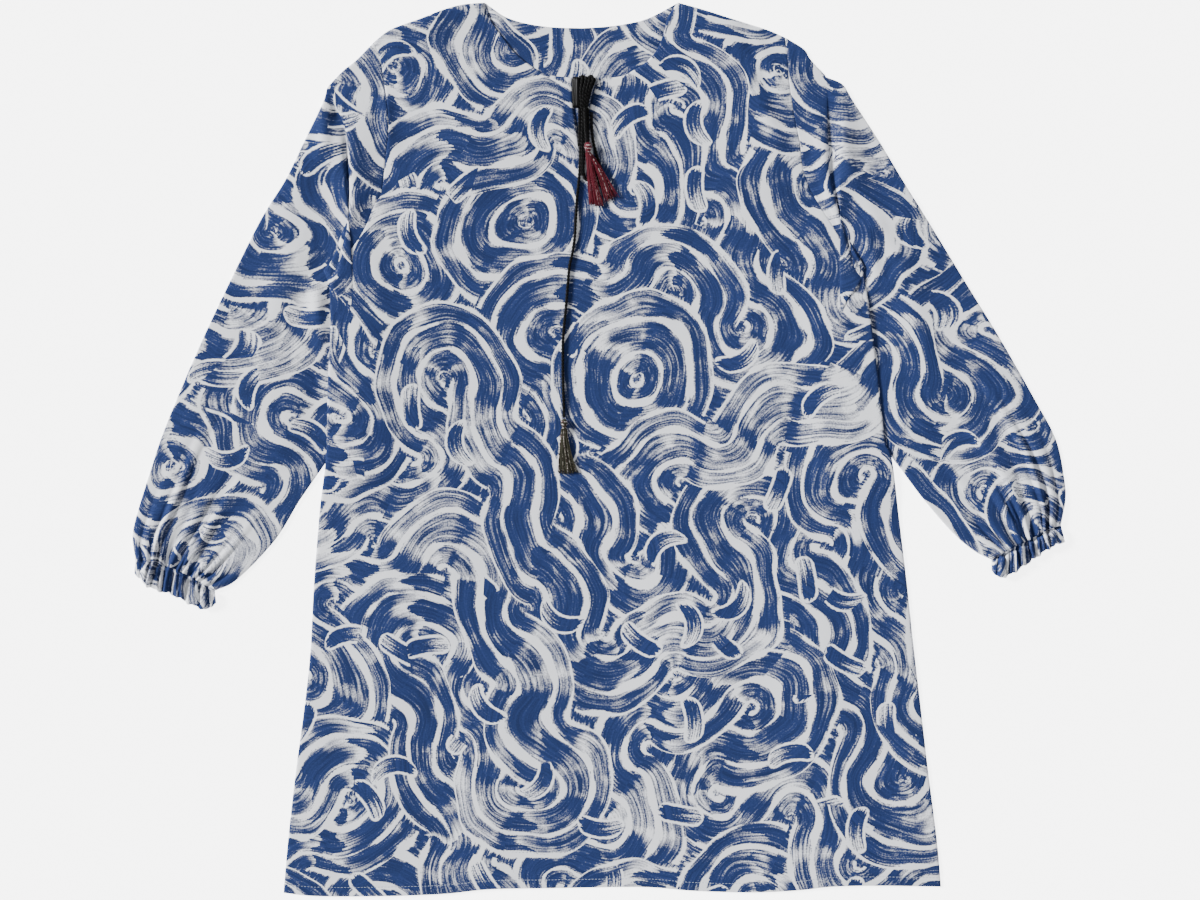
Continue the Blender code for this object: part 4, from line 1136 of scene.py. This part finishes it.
def makeHemStitches():
    # each stitch dips into the cloth and narrows at both ends
    s = stitchSettings
    total = reachAlong(hemLine)[-1]
    steps = np.linspace(0, 1, 5)
    raised = clothSettings["thickness"] / 2 + s["radius"] - s["sink"]
    lines = []
    for number in range(int(total / s["pitch"])):
        stitch = atShares(hemLine, (number * s["pitch"] + steps * s["length"]) / total)
        stitch[:, 2] += raised - s["dip"] * (2 * steps - 1) ** 4
        lines.append(stitch)
    radius = s["radius"] * np.array((0.5, 1, 1, 1, 0.5))
    mesh = tubeMesh("hemStitches", lines, [radius] * len(lines), [6] * len(lines))
    addPiece("hemStitches", mesh, [sewingThread])


makeHemStitches()
print("stitches made")

# Floor and light

studioSettings = {
    "floor": "#F8F8F8", "floorGlow": 5.0, "floorSize": 60.0, "world": "#FFFFFF", "worldStrength": 0.39,
    # where each light stands, how wide it looks from the cloth in radians, and its strength
    "key": {"place": (-2.6, 0.9, 1.4), "width": 0.26, "strength": 8.9},
    "fill": {"place": (1.6, -0.8, 2.2), "width": 0.9, "strength": 0.6},
}


def makeStudio():
    mesh = bpy.data.meshes.new("floor")
    half = studioSettings["floorSize"] / 2
    level = -0.1 * mm
    mesh.from_pydata([(-half, -half, level), (half, -half, level), (half, half, level), (-half, half, level)],
                     [], [(0, 1, 2, 3)])
    floor = bpy.data.objects.new("floor", mesh)
    # Opal acrylic sheet on a light table: matte, nearly white, with an even glow of its own.
    material, add = startMaterial("opalAcrylicLightTable")
    grain = add("TexNoise", {"Scale": 300.0, "Detail": 2.0})
    bump = add("Bump", {"Height": grain, "Strength": 0.02, "Distance": 0.0005})
    shader = add("BsdfPrincipled", {
        "Base Color": linearColour(studioSettings["floor"]), "Roughness": 0.9, "Normal": bump,
        "Emission Color": linearColour(studioSettings["floor"]),
        "Emission Strength": studioSettings["floorGlow"]})
    add("OutputMaterial", [shader])
    mesh.materials.append(material)
    bpy.context.scene.collection.objects.link(floor)
    for name in ("key", "fill"):
        spec = studioSettings[name]
        light = bpy.data.lights.new(name, "SUN")
        light.angle = spec["width"]
        light.energy = spec["strength"]
        lamp = bpy.data.objects.new(name, light)
        lamp.location = spec["place"]
        lamp.rotation_euler = (-Vector(spec["place"])).to_track_quat("-Z", "Y").to_euler()
        bpy.context.scene.collection.objects.link(lamp)
    world = bpy.data.worlds.new("studio")
    world.use_nodes = True
    background = world.node_tree.nodes["Background"]
    background.inputs["Color"].default_value = linearColour(studioSettings["world"])
    background.inputs["Strength"].default_value = studioSettings["worldStrength"]
    bpy.context.scene.world = world


makeStudio()
print("studio made")
